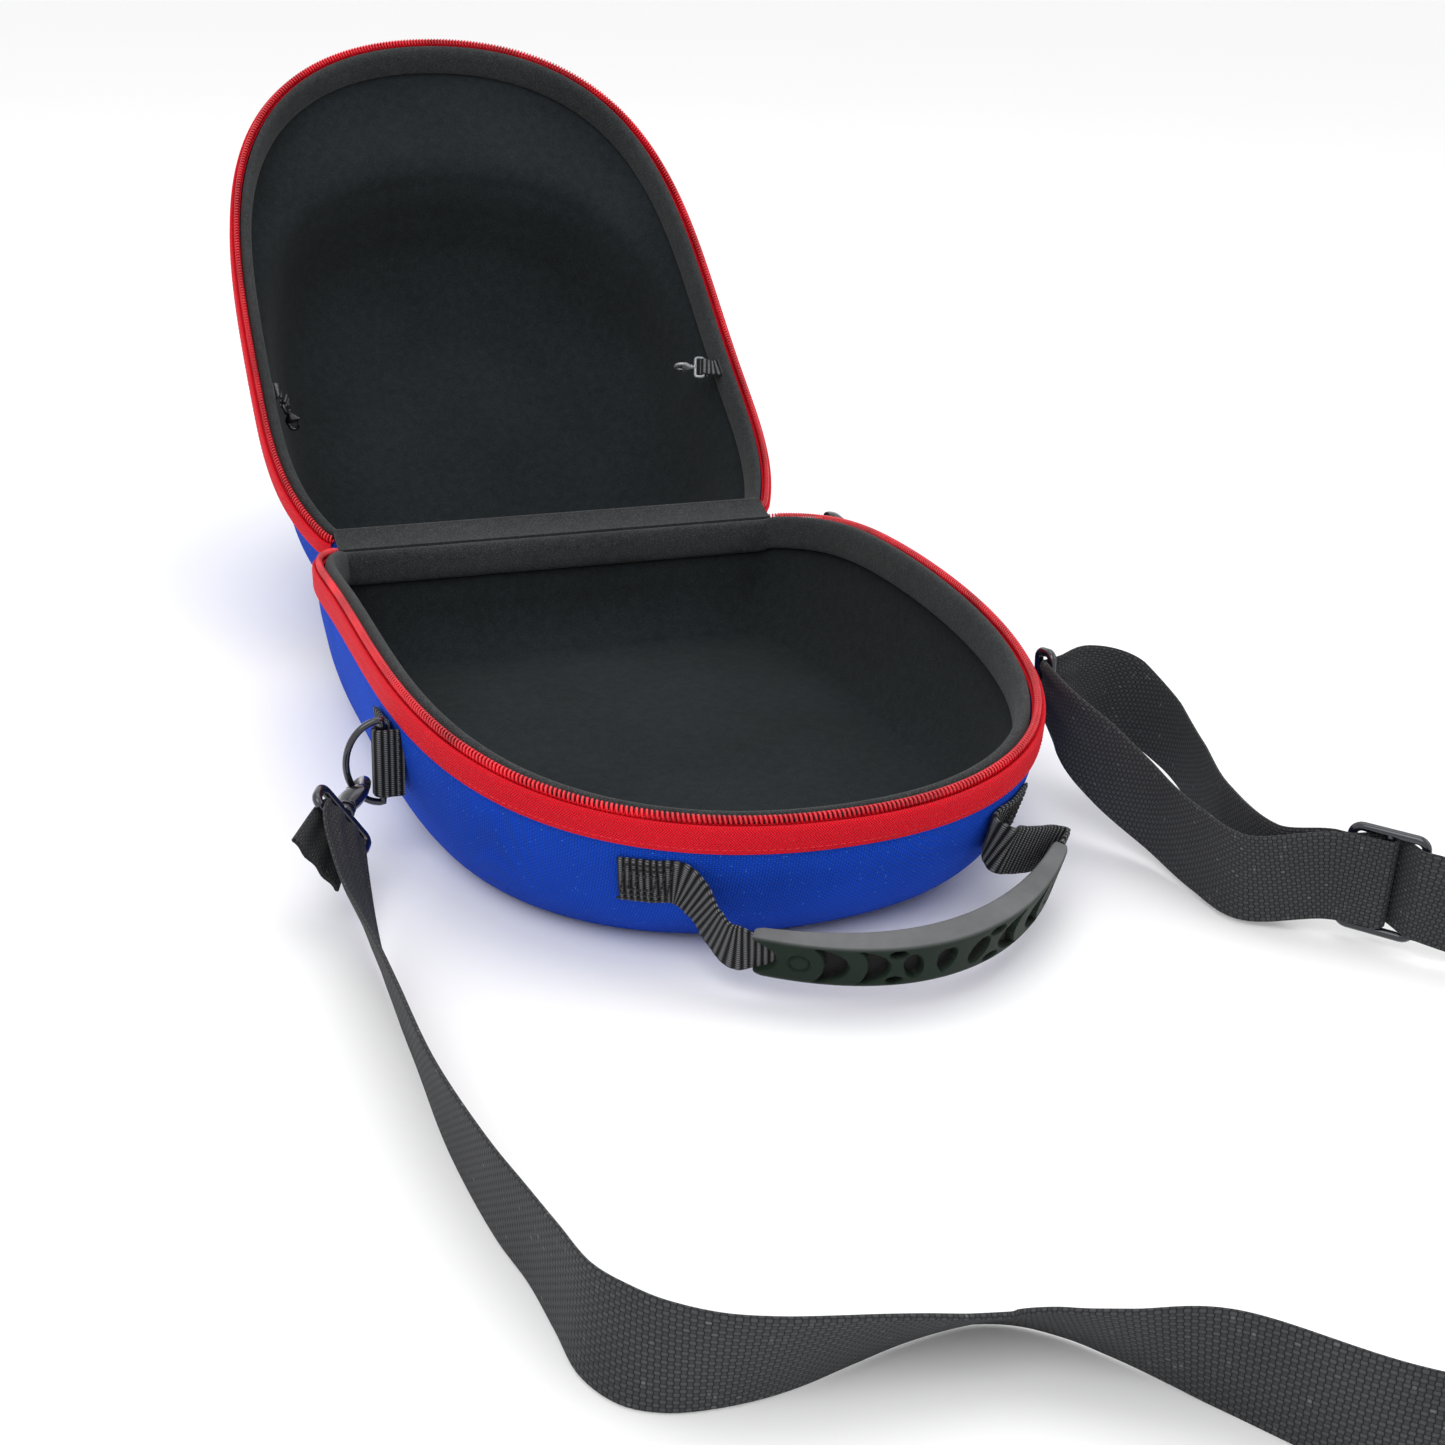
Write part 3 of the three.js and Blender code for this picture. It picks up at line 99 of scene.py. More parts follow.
# The strap's route: middle of the band, the way across it, and how far it is gathered
STRAP_ROUTE = (
    (-144.5, -77.2, 23.7, -0.57, 0.19, 0.8, 0.7), (-136, -59.1, 25.5, -0.57, 0.19, 0.8, 1),
    (-135.1, -57.9, 25.8, -0.57, 0.19, 0.8, 1), (-133.8, -57.2, 26.6, -0.57, 0.19, 0.8, 1),
    (-132.5, -57.4, 27.5, -0.57, 0.19, 0.8, 1), (-131.6, -58.3, 28.4, -0.57, 0.19, 0.8, 1),
    (-131.2, -59.7, 29, -0.57, 0.19, 0.8, 1), (-131.5, -61.3, 29.2, -0.57, 0.19, 0.8, 1),
    (-133.1, -65.8, 29.2, -0.57, 0.19, 0.8, 0.9), (-134.2, -91.8, 17.6, -0.45, -0.03, 0.89, 0.6),
    (-134.6, -113.6, 14.8, -0.31, 0.02, 0.95, 0.2), (-134.7, -136.8, 15, -0.24, 0.01, 0.97, 0),
    (-134.7, -160, 15.1, -0.21, 0, 0.98, 0), (-134.8, -200.1, 15.2, -0.16, 0, 0.99, 0),
    (-131.5, -237.1, 15.3, -0.1, -0.01, 0.99, 0), (-128.3, -255.1, 15.3, -0.09, -0.01, 1, 0),
    (-126.1, -272, 15.3, -0.02, 0, 1, 0), (-124.1, -286.9, 15.3, 0.05, 0.01, 1, 0),
    (-118.8, -296.3, 15.3, 0.05, 0.05, 1, 0), (-112.1, -302.1, 15.3, -0.01, -0.02, 1, 0),
    (-102.2, -306.5, 15.2, -0.02, -0.17, 0.98, 0), (-91.8, -308.6, 14.9, 0.01, -0.28, 0.96, 0),
    (-79, -309.1, 14.3, 0.07, -0.4, 0.91, 0), (-64.3, -308.1, 13.1, 0.11, -0.55, 0.83, 0),
    (-49.8, -307.1, 11.7, 0.09, -0.68, 0.73, 0), (-37, -307, 11, -0.06, -0.73, 0.68, 0),
    (-32.1, -308.5, 11.2, -0.34, -0.63, 0.69, 0), (-24.8, -313.3, 11.9, -0.46, -0.49, 0.74, 0),
    (-19.2, -318.6, 12.6, -0.48, -0.38, 0.79, 0), (-12.3, -325.1, 13.6, -0.42, -0.27, 0.87, 0),
    (1.1, -337.5, 15.2, -0.13, -0.09, 0.99, 0), (25.6, -365.6, 15.3, 0.02, 0.03, 1, 0),
    (69.5, -393.2, 15.3, 0.03, 0.08, 1, 0), (129.8, -404.4, 15.3, -0.01, 0.1, 0.99, 0),
    (187.7, -384.4, 15.3, -0.06, 0.09, 0.99, 0), (226.5, -341.6, 15.3, -0.08, 0.04, 1, 0),
    (235.9, -287.1, 15.3, -0.07, 0, 1, 0), (222.6, -235.2, 17.1, -0.03, -0.02, 1, 0),
    (188.6, -200.1, 19.2, 0, 0, 1, 0), (175.7, -188.4, 21.8, 0, 0, 1, 0),
    (173.9, -186.1, 21.8, 0, 0, 1, 0), (174.3, -173.7, 21.8, 0, 0, 1, 0),
    (172.5, -171.3, 21.8, 0, 0, 1, 0), (160.5, -168.6, 21.8, 0, 0, 1, 0),
    (158.6, -166.2, 21.8, 0, 0, 1, 0), (150.7, -150.8, 16.8, -0.03, 0, 1, 0),
    (155.3, -116, 15.9, -0.07, 0.01, 1, 0), (163.8, -88.5, 19.2, -0.1, 0.02, 0.99, 0),
    (166.1, -64.4, 26.1, -0.1, -0.02, 0.99, 0), (156.4, -46.4, 36, -0.04, -0.06, 1, 0),
    (139.2, -45.8, 42.9, 0, 0, 1, 0.35), (128.9, -49.6, 43.8, 0.02, 0.17, 0.99, 0.8),
    (122.9, -49.7, 43.9, 0.02, 0.17, 0.99, 1), (122.1, -49.8, 43.9, 0.02, 0.17, 0.99, 1),
    (121.4, -50.1, 44, 0.02, 0.17, 0.99, 1), (120.8, -50.6, 44.1, 0.02, 0.17, 0.99, 1),
    (120.3, -51.3, 44.2, 0.02, 0.17, 0.99, 1), (120, -52, 44.4, 0.02, 0.17, 0.99, 1),
    (119.9, -52.8, 44.5, 0.02, 0.17, 0.99, 1), (117.8, -72.5, 39.9, 0, 0, 1, 0.5),
    (124.2, -89.9, 29.4, -0.03, -0.01, 1, 0), (131.6, -108.8, 20.4, -0.07, -0.02, 1, 0),
    (134.1, -130.5, 16.5, -0.05, -0.01, 1, 0), (136.8, -152.3, 16.5, -0.04, -0.03, 1, 0),
    (157, -167.5, 21.8, 0, 0, 1, 0), (167.3, -176.4, 21.8, 0, 0, 1, 0),
    (168.1, -177.4, 21.8, 0, 0, 1, 0), (169.5, -177.9, 21.8, 0, 0, 1, 0),
    (171.1, -177.4, 21.8, 0, 0, 1, 0), (172.1, -176, 21.8, 0, 0, 1, 0),
    (171.8, -174.3, 21.8, 0, 0, 1, 0),
)
STRAP_WIDTH = 30.0
STRAP_THICKNESS = 1.4
GATHERED_WIDTH = 19.0
GATHER_RIPPLE = 0.55

# Meshes and how their grids close
SHARP_ANGLE = math.radians(42)
TRAY_ROWS = 46
LID_CROWN = 2.5
LOFT = {}
OPEN_WIRE = dict(around=False, closed_rows=True)
CLOSED_WIRE = dict(closed_rows=True)

# Patterns of the cloths, in millimetres
RIB_PITCH = 2.0
RIB_THREAD = 0.75
TAPE_TURN = 1.7
TAPE_RIB = 0.9
COIL_SIZES = dict(Depth=0.00095, Height=0.0015, Thread=0.00045)
TURN_STEPS = 8
ZIP_PAST_HINGE = 2.5

# Values on the grip's mesh that its material reads: its outer face, and the hollows that get
# painted shade
GRIP_FACE = "outer_face"
GRIP_RECESS_SHADE = "recess_shade"


# ---- Lines ----

def unit(vectors):
    """Vectors brought to length one."""
    return vectors / np.linalg.norm(vectors, axis=-1, keepdims=True)


def runs(points):
    """Length run along a line at each of its points."""
    return np.concatenate([[0], np.cumsum(np.linalg.norm(np.diff(points, axis=0), axis=1))])


def eased(t, step, here, ahead, lean, lean_ahead):
    """A smooth step from one value to the next that keeps to the leans at both ends."""
    return ((1 + 2 * t) * (1 - t) ** 2 * here + t * (1 - t) ** 2 * step * lean
            + t * t * (3 - 2 * t) * ahead + t * t * (t - 1) * step * lean_ahead)


def smooth_table(xs, ys, at):
    """A smooth curve through a table's rows that never swings past them."""
    xs, ys = np.array(xs), np.array(ys)
    slope = np.diff(ys) / np.diff(xs)
    lean = np.concatenate([[slope[0]], (slope[1:] + slope[:-1]) / 2, [slope[-1]]])
    for k, limit in enumerate(3 * np.abs(slope)):
        lean[k:k + 2] = np.clip(lean[k:k + 2], -limit, limit)
    k = np.clip(np.searchsorted(xs, at) - 1, 0, len(xs) - 2)
    step = xs[k + 1] - xs[k]
    return eased((at - xs[k]) / step, step, ys[k], ys[k + 1], lean[k], lean[k + 1])


def smooth_route(points, step):
    """A smooth line through chosen points, with about one point for each step."""
    points = np.asarray(points, float)
    lengths = np.linalg.norm(np.diff(points[:, :3], axis=0), axis=1)
    knots = np.concatenate([[0], np.cumsum(lengths ** 0.5)])
    lean = np.gradient(points, knots, axis=0)
    out = []
    for k, length in enumerate(lengths):
        pieces = max(1, round(length / step))
        for t in np.arange(pieces) / pieces:
            out.append(eased(t, knots[k + 1] - knots[k], points[k], points[k + 1],
                             lean[k], lean[k + 1]))
    out.append(points[-1])
    return np.array(out)


def corner_turns(corners, radius, steps):
    """Quarter turns about corners given as a place and a starting angle."""
    points = []
    for a, b, start in corners:
        for angle in np.radians(start + 90 * np.arange(steps + 1) / steps):
            points.append((a + radius * math.cos(angle), b + radius * math.sin(angle)))
    return points


def rounded_box(near, far, top, bottom, radius, steps):
    """A round-cornered box profile in insets and drops."""
    return corner_turns(((far - radius, top + radius, -90), (far - radius, bottom - radius, 0),
                         (near + radius, bottom - radius, 90), (near + radius, top + radius, 180)),
                        radius, steps)


def round_frame(near, far, half, corner, steps=6):
    """A round-cornered oblong path in a piece's own x and z."""
    turns = corner_turns(((far - corner, half - corner, 0), (near + corner, half - corner, 90),
                          (near + corner, corner - half, 180), (far - corner, corner - half, 270)),
                         corner, steps)
    return [(x, 0.0, z) for x, z in turns]


# ---- Shapes of the rim and walls ----

def sides_of_rim():
    """Left side of the rim from the hinge corner to the front middle: across, along."""
    half = RIM_WIDTH / 2
    t = np.linspace(0, 1, 60)[:-1]
    across = half - (half - HINGE_WIDTH / 2) * (1 - t) ** BACK_POWER
    angle = np.linspace(0, 1, 200) ** 1.7 * math.pi / 2
    front_across = half * np.abs(np.cos(angle)) ** (2 / FRONT_ACROSS)
    front_along = WIDEST + (RIM_LENGTH - WIDEST) * np.sin(angle) ** (2 / FRONT_ALONG)
    front_across[-1] = 0
    x = -np.concatenate([across, front_across])
    v = np.concatenate([WIDEST * t, front_along])
    return np.stack([x, v], 1)


def rounded_corner(side):
    """The back corner's sharp turn replaced by a small round one."""
    run = np.hypot(*(side - side[0]).T)
    rest = side[run > CORNER_ROUND]
    start = side[0] + (CORNER_ROUND, 0)
    t = np.linspace(0, 1, 14)[:, None]
    bend = start * (1 - t) ** 2 + side[0] * 2 * t * (1 - t) + rest[0] * t ** 2
    return np.concatenate([bend, rest[1:]])


class Rim:
    """Evenly spaced points round the rim, from the hinge's middle by way of the left side."""

    def __init__(self, count):
        left = rounded_corner(sides_of_rim())
        right = left[::-1][1:] * (-1, 1)
        loop = np.concatenate([[(0, 0)], left, right, [(0, 0)]])
        run = runs(loop)
        self.length = run[-1]
        self.s = np.linspace(0, self.length, count, endpoint=False)
        self.fill(np.interp(self.s, run, loop[:, 0]), np.interp(self.s, run, loop[:, 1]))

    def fill(self, x, v):
        self.x, self.v = x, v
        tangent = np.stack([np.roll(x, -1) - np.roll(x, 1), np.roll(v, 1) - np.roll(v, -1)])
        tangent /= np.hypot(*tangent)
        self.nx, self.ny = tangent[1], -tangent[0]
        share = v / RIM_LENGTH
        self.bow = 4 * share * (1 - share) * (BOW + 2.5 * BOW_SKEW * (0.5 - share))

    def part(self, first, last):
        """The same line from one length run to another, for a strip that stops short."""
        piece = Rim.__new__(Rim)
        keep = (self.s >= first) & (self.s <= last)
        for key in ("s", "x", "v", "nx", "ny", "bow"):
            setattr(piece, key, getattr(self, key)[keep])
        piece.length = last - first
        return piece


def wall_row(wall, rim, share):
    """One row of the outer wall, at a share of its depth, in the hinge's frame."""
    share = np.broadcast_to(share, rim.x.shape)
    insets = [smooth_table(wall["depth"], wall[key], share) * r
              for key, r in zip(("side", "front", "back"), wall["rounds"])]
    side, front, back = insets
    x = (rim.x - rim.nx * SKIN) * (1 - side / (RIM_WIDTH / 2))
    y = (-rim.v - rim.ny * SKIN) * (RIM_LENGTH - front - back) / RIM_LENGTH - back
    z = rim.bow + wall["sign"] * share * (wall["height"] - wall["sign"] * rim.bow)
    return np.stack([x, y, z], 1)


def wall_rows(wall, rim, drop, count):
    """Rows from a drop below the rim line down to the flat end, closer where the wall turns."""
    depth = wall["height"] - wall["sign"] * rim.bow
    first = drop / depth
    steps = np.linspace(0, 1, count) ** 0.9
    return np.stack([wall_row(wall, rim, first + (1 - first) * t) for t in steps])


def offset_rows(wall, rows, distance):
    """The same rows moved inwards by a distance, square to the wall."""
    around = np.roll(rows, -1, 1) - np.roll(rows, 1, 1)
    down = np.gradient(rows, axis=0)
    normal = np.cross(around, down) * wall["sign"]
    normal /= np.linalg.norm(normal, axis=2, keepdims=True) + 1e-9
    normal[-1] = (0, 0, wall["sign"])
    moved = rows - normal * distance
    moved[0, :, 2] = rows[0, :, 2]
    return moved


def closing_rows(ring, rise, count=8):
    """Rows that close a ring towards its middle, with a slight crown."""
    centre = ring.mean(0)
    scales = [1 - (k + 1) / count for k in range(count - 1)] + [0.012]
    rows = [centre + (ring - centre) * s + (0, 0, rise * (1 - s * s)) for s in scales]
    return np.stack(rows)


def rim_section(wall, rim, profile):
    """A profile of insets and drops carried round the rim: profile, station, xyz."""
    depth = wall["height"] - wall["sign"] * rim.bow
    rows = []
    for inset, drop in profile:
        row = wall_row(wall, rim, drop / depth)
        row[:, 0] -= rim.nx * (inset - SKIN)
        row[:, 1] -= rim.ny * (inset - SKIN)
        rows.append(row)
    return np.stack(rows)


# ---- Meshes ----

def in_case(points, lid):
    """Points of a half's hinge frame, in millimetres, in the case's own frame in metres."""
    points = np.asarray(points, float)
    if lid:
        c, s = math.cos(-OPEN_ANGLE), math.sin(-OPEN_ANGLE)
        y = points[..., 1] * c - points[..., 2] * s
        z = points[..., 1] * s + points[..., 2] * c
        points = np.stack([points[..., 0], y, z], -1)
    return (points + (0, HINGE_Y, BASE_HEIGHT)) * MM


def in_scene(name, data):
    """An object for some data, placed in the scene."""
    piece = bpy.data.objects.new(name, data)
    bpy.context.scene.collection.objects.link(piece)
    return piece


def run_of(grid, closed):
    """Length run along each row of a grid, with the closing step where it is closed."""
    ahead = np.roll(grid, -1, 1) if closed else grid[:, 1:]
    here = grid if closed else grid[:, :-1]
    steps = np.linalg.norm(ahead - here, axis=2)
    return np.concatenate([np.zeros((len(grid), 1)), np.cumsum(steps, 1)], 1)


def grid_mesh(name, grid, material, around=True, closed_rows=False, lengths=None):
    """A closed skin over a grid of rows and columns, with cloth coordinates in metres."""
    rows, cols = grid.shape[:2]
    if lengths is None:
        lengths = (run_of(grid.transpose(1, 0, 2), closed_rows).mean(0), run_of(grid, around))
    faces, coords = [], []
    down, along = lengths

    def face(corners):
        faces.append([(r % rows) * cols + c % cols for r, c in corners])
        coords.extend((along[r % rows][c], down[r]) for r, c in corners)

    for r in range(rows if closed_rows else rows - 1):
        for c in range(cols if around else cols - 1):
            face(((r, c), (r, c + 1), (r + 1, c + 1), (r + 1, c)))
    if not closed_rows:
        for r in (0, rows - 1):
            face([(r, c) for c in range(cols)])
    elif not around:
        for c in (0, cols - 1):
            face([(r, c) for r in range(rows)])
    mesh = bpy.data.meshes.new(name)
    mesh.from_pydata([tuple(p) for p in grid.reshape(-1, 3)], [], faces)
    layer = mesh.uv_layers.new(name="cloth")
    layer.data.foreach_set("uv", np.array(coords, dtype=np.float32).ravel())
    mesh.materials.append(material)
    mesh.update()
    outward(mesh)
    mesh.shade_smooth()
    mesh.set_sharp_from_angle(angle=SHARP_ANGLE)
    return in_scene(name, mesh)


def outward(mesh):
    """Turns a closed skin's faces out."""
    mesh.calc_loop_triangles()
    count = len(mesh.loop_triangles)
    tri = np.empty(count * 3, dtype=np.int32)
    mesh.loop_triangles.foreach_get("vertices", tri)
    points = np.empty(len(mesh.vertices) * 3)
    mesh.vertices.foreach_get("co", points)
    a, b, c = points.reshape(-1, 3)[tri.reshape(-1, 3)].transpose(1, 0, 2)
    if np.einsum("ij,ij->", a, np.cross(b, c)) < 0:
        mesh.flip_normals()


def band_grid(places, across, width, thickness, ripple, flat_steps):
    """A flat band with round edges along a line: one profile for each place."""
    way = unit(np.gradient(places, axis=0))
    across = unit(across - way * np.einsum("ij,ij->i", across, way)[:, None])
    through = np.cross(way, across)
    thickness = np.broadcast_to(thickness, len(places))
    columns = []
    for flat, bulge, level in band_profile(flat_steps):
        aside = (width / 2 - thickness / 2) * flat + thickness / 2 * bulge
        lift = thickness / 2 * level + ripple * math.cos(2.5 * math.pi * flat)
        columns.append(places + across * aside[:, None] + through * lift[:, None])
    return np.stack(columns)


def band_profile(flat_steps, steps=3):
    """Points round a band: place on the flat, bulge at the edge, level through."""
    points = []
    for side in (1, -1):
        points += [(a, 0.0, side) for a in np.linspace(-side, side, flat_steps)]
        for angle in np.arange(1, steps) * math.pi / steps:
            points.append((side, side * math.sin(angle), side * math.cos(angle)))
    return points


def on_band(route, run, aside, lift):
    """A place on a band: its run along it, across it and out from its middle."""
    places, across = route[:, :3], route[:, 3:6]
    at = runs(places)
    through = np.cross(unit(np.gradient(places, axis=0)), across)
    spot = [np.array([np.interp(run, at, part[:, k]) for k in range(3)])
            for part in (places, across, through)]
    return (spot[0] + spot[1] * aside + spot[2] * lift) * MM


def line_on_band(route, corners, lift, step=0.7):
    """A line over a band through corners given as run and side."""
    points = []
    for (r1, a1), (r2, a2) in zip(corners, corners[1:]):
        pieces = max(2, int(math.hypot(r2 - r1, a2 - a1) / step))
        points += [on_band(route, r1 + (r2 - r1) * t, a1 + (a2 - a1) * t, lift)
                   for t in np.arange(pieces) / pieces]
    points.append(on_band(route, *corners[-1], lift))
    return np.array(points)


def box_spiral(start, length, half, turns, pitch):
    """Corners of a box stitch that winds inwards."""
    corners = []
    for d in np.arange(turns) * pitch:
        near, far, side = start + d, start + length - d, half - d
        corners += [(near, -side), (far, -side), (far, side), (near, side), (near, pitch - side)]
    return corners


def band_mesh(name, route, width, thickness, material, ripple=0.0, flat_steps=9, lid=False):
    """A band along a route of places and ways across, with even cloth coordinates."""
    grid = band_grid(route[:, :3], route[:, 3:6], width, thickness, ripple, flat_steps)
    grid = in_case(grid, True) if lid else grid * MM
    along = np.repeat(runs(route[:, :3] * MM)[None], len(grid), 0)
    down = run_of(grid.transpose(1, 0, 2), True).mean(0)
    return grid_mesh(name, grid, material, **OPEN_WIRE, lengths=(down, along))


def ribs(route, low, high):
    """Thickness of a ribbed web at each place of its route."""
    wave = np.abs(np.sin(runs(route[:, :3]) * math.pi / RIB_PITCH))
    return low + (high - low) * wave ** 0.8


def loft_grid(table, sides=24, step=0.7):
    """Superellipse sections along x: x, half width in z, half depth in y, shift in y, power."""
    angles = np.linspace(0, 2 * math.pi, sides, endpoint=False)
    c, s = np.cos(angles), np.sin(angles)
    rows = []
    for x, wide, deep, shift, power in smooth_route(table, step):
        z = wide * np.sign(c) * np.abs(c) ** (2 / power)
        y = shift + deep * np.sign(s) * np.abs(s) ** (2 / power)
        rows.append(np.stack([np.full(sides, x), y, z], 1))
    return np.stack(rows)


def wire_grid(path, radius, sides=12, closed=True):
    """A round wire along a path, in profile columns."""
    path = np.asarray(path, float)
    ahead = np.roll(path, -1, 0) - np.roll(path, 1, 0) if closed else np.gradient(path, axis=0)
    way = unit(ahead)
    plane = np.cross(path[len(path) // 4] - path[0], path[len(path) // 2] - path[0])
    if np.linalg.norm(plane) < 1e-12:
        plane = np.cross(way[0], (0.6, 0.8, 0.0) if abs(way[0][2]) > 0.5 else (0.0, 0.0, 1.0))
    side = unit(np.cross(way, unit(plane)))
    up = np.cross(side, way)
    radius = np.broadcast_to(radius, len(path))[:, None]
    angles = np.arange(sides) * 2 * math.pi / sides
    return np.stack([path + (side * math.cos(a) + up * math.sin(a)) * radius for a in angles])


def assembled(name, finish, skins, scale=1.0, lid=False):
    """One piece of lofts and wires, each a grid with its closing, its place and its ways."""
    mesh = bpy.data.meshes.new(name)
    work = bmesh.new()
    for k, (grid, closing, place, ways) in enumerate(skins):
        points = np.asarray(place) + grid @ np.array(ways, float) * scale
        points = in_case(points, True) if lid else points * MM
        part = grid_mesh(name, points, finish, **closing)
        part.data.polygons.foreach_set("material_index", [k] * len(part.data.polygons))
        work.from_mesh(part.data)
        mesh.materials.append(finish)
        bpy.data.objects.remove(part)
    work.to_mesh(mesh)
    work.free()
    return in_scene(name, mesh)


# ---- Wiring of materials and geometry trees ----

def srgb(red, green, blue):
    """A colour read in a picture's own values, as linear light."""
    def linear(v):
        v /= 255
        return v / 12.92 if v <= 0.04045 else ((v + 0.055) / 1.055) ** 2.4
    return (linear(red), linear(green), linear(blue), 1.0)


class Wiring:
    """Places nodes in a tree and joins them."""

    def __init__(self, tree):
        self.tree = tree
        self.placed = 0

    def add(self, kind, wires=None, **settings):
        node = self.tree.nodes.new(kind)
        node.location = (self.placed % 12 * 190, -(self.placed // 12) * 260)
        self.placed += 1
        for key, value in settings.items():
            setattr(node, key, value)
        for key, value in (wires or {}).items():
            if isinstance(value, bpy.types.NodeSocket):
                self.tree.links.new(value, node.inputs[key])
            else:
                node.inputs[key].default_value = value
        return node

    def math(self, operation, a, b=0.0, c=0.0):
        return self.add("ShaderNodeMath", {0: a, 1: b, 2: c}, operation=operation).outputs[0]

    def times(self, a, b):
        return self.math("MULTIPLY", a, b)

    def plus(self, a, b):
        return self.math("ADD", a, b)

    def ridges(self, angle):
        """Round ridges side by side, one for each half turn."""
        return self.math("ABSOLUTE", self.math("SINE", angle))

    def vector(self, operation, a, b):
        return self.add("ShaderNodeVectorMath", {0: a, 1: b}, operation=operation).outputs[0]

    def scaled(self, vector, size):
        wires = {0: vector, "Scale": size}
        return self.add("ShaderNodeVectorMath", wires, operation="SCALE").outputs[0]

    def mix(self, factor, a, b, **settings):
        wires = {0: factor, 6: a, 7: b}
        return self.add("ShaderNodeMix", wires, data_type="RGBA", **settings).outputs[2]

    def noise(self, where, scale, detail=2.0, rough=0.5):
        wires = {"Vector": where, "Scale": scale, "Detail": detail, "Roughness": rough}
        return self.add("ShaderNodeTexNoise", wires).outputs[0]

    def ramp(self, factor, low, high, first=0.0, last=1.0):
        """Goes from the first grey to the last while the factor goes from low to high."""
        node = self.add("ShaderNodeValToRGB", {0: factor})
        stops = zip(node.color_ramp.elements, (low, high), (first, last))
        for element, place, grey in stops:
            element.position = place
            element.color = (grey, grey, grey, 1)
        return node.outputs[0]


class Finish(Wiring):
    """A material's wiring, with its shader and the coordinates its pattern follows."""

    def __init__(self, name, roughness, **sockets):
        self.material = bpy.data.materials.new(name)
        self.material.use_nodes = True
        super().__init__(self.material.node_tree)
        self.tree.nodes.clear()
        sockets = {key.replace("_", " "): value for key, value in sockets.items()}
        self.shader = self.add("ShaderNodeBsdfPrincipled", {"Roughness": roughness, **sockets})
        self.add("ShaderNodeOutputMaterial", {0: self.shader.outputs[0]})

    def cloth(self):
        """Cloth coordinates in metres: both together, along and across."""
        where = self.add("ShaderNodeUVMap", uv_map="cloth").outputs[0]
        parts = self.add("ShaderNodeSeparateXYZ", {0: where}).outputs
        return where, parts[0], parts[1]

    def place(self):
        return self.add("ShaderNodeTexCoord").outputs["Object"]

    def dressed(self, colour, height, depth, shade=None):
        """Gives the shader its colour, shaded where asked, and relief with a depth in mm."""
        if shade is not None:
            colour = self.mix(1.0, colour, shade, blend_type="MULTIPLY")
        self.tree.links.new(colour, self.shader.inputs["Base Color"])
        wires = {"Height": height, "Distance": depth * MM, "Strength": 1.0}
        relief = self.add("ShaderNodeBump", wires)
        self.tree.links.new(relief.outputs[0], self.shader.inputs["Normal"])
        return self.material


def woven_material(name, colour, deep, pale, pitches, depth, sheen, rough, tint):
    """Cloth or webbing: threads over and under, with painted shade between them and a few pale
    flecks.
    """
    net = Finish(name, rough, Sheen_Weight=sheen, Specular_IOR_Level=0.12)
    u, v = (net.times(way, 1000 / pitch) for way, pitch in zip(net.cloth()[1:], pitches))
    ridges = [net.ridges(net.times(way, math.pi)) for way in (u, v)]
    left, low = net.math("FLOOR", u), net.math("FLOOR", v)
    parity = net.math("PINGPONG", net.plus(left, low), 1.0)
    warp, weft = (net.times(*(net.math("POWER", ridge, p) for ridge, p in zip(ridges, powers)))
                  for powers in ((0.7, 0.3), (0.3, 0.7)))
    relief = net.add("ShaderNodeMix", {0: parity, 2: warp, 3: weft}).outputs[0]
    cell = net.add("ShaderNodeCombineXYZ", {0: left, 1: low}).outputs[0]
    chance = net.add("ShaderNodeTexWhiteNoise", {0: cell}).outputs[0]
    # The deep colour is painted shade where the threads dip, following the relief.
    body = net.mix(net.ramp(relief, 0.15, 0.7), deep, colour)
    fleck = net.times(net.ramp(chance, 0.98, 1.0), net.ramp(relief, 0.45, 0.9))
    body = net.mix(fleck, body, pale)
    body = net.mix(net.times(parity, tint), body, pale)
    broad = net.ramp(net.noise(net.place(), 22.0, 3.0), 0.3, 0.7, 0.82, 1.08)
    return net.dressed(body, relief, depth, broad)


def ribbed_material(name, colour, deep, pale):
    """Webbing with raised ribs across it, each one bundle of threads, with painted shade between
    the ribs and painted highlights on their crests.
    """
    net = Finish(name, 0.8, Sheen_Weight=0.03, Specular_IOR_Level=0.2)
    u, v = (net.times(way, 1000 * math.pi / pitch)
            for way, pitch in zip(net.cloth()[1:], (RIB_PITCH, RIB_THREAD)))
    rib = net.ridges(u)
    thread = net.ridges(net.plus(v, net.times(u, 0.5)))
    # The deep colour is painted shade in the grooves between the ribs.
    body = net.mix(net.ramp(rib, 0.3, 0.85), deep, colour)
    # Painted highlights on the rib crests, where threads cross them, in the pale colour.
    crest_highlight = net.times(net.ramp(rib, 0.6, 1.0), net.ramp(thread, 0.45, 0.95, last=0.75))
    height = net.math("MULTIPLY_ADD", thread, 0.35, rib)
    return net.dressed(net.mix(crest_highlight, body, pale), height, 0.3)


def felt_material(name, colour, pale, depth, sheen=0.1):
    """Short brushed pile with stray fibres."""
    net = Finish(name, 0.95, Sheen_Weight=sheen, Specular_IOR_Level=0.08)
    where = net.place()
    pile, clumps = net.noise(where, 1900.0, 2.0, 0.6), net.noise(where, 260.0, 3.0, 0.6)
    broad = net.noise(where, 14.0)
    body = net.mix(net.ramp(pile, 0.45, 0.75), colour, pale)
    patches = net.plus(net.times(clumps, 0.5), net.times(broad, 0.5))
    height = net.plus(net.times(pile, 0.6), net.times(clumps, 0.4))
    return net.dressed(body, height, depth, net.ramp(patches, 0.35, 0.65, 0.72, 1.12))


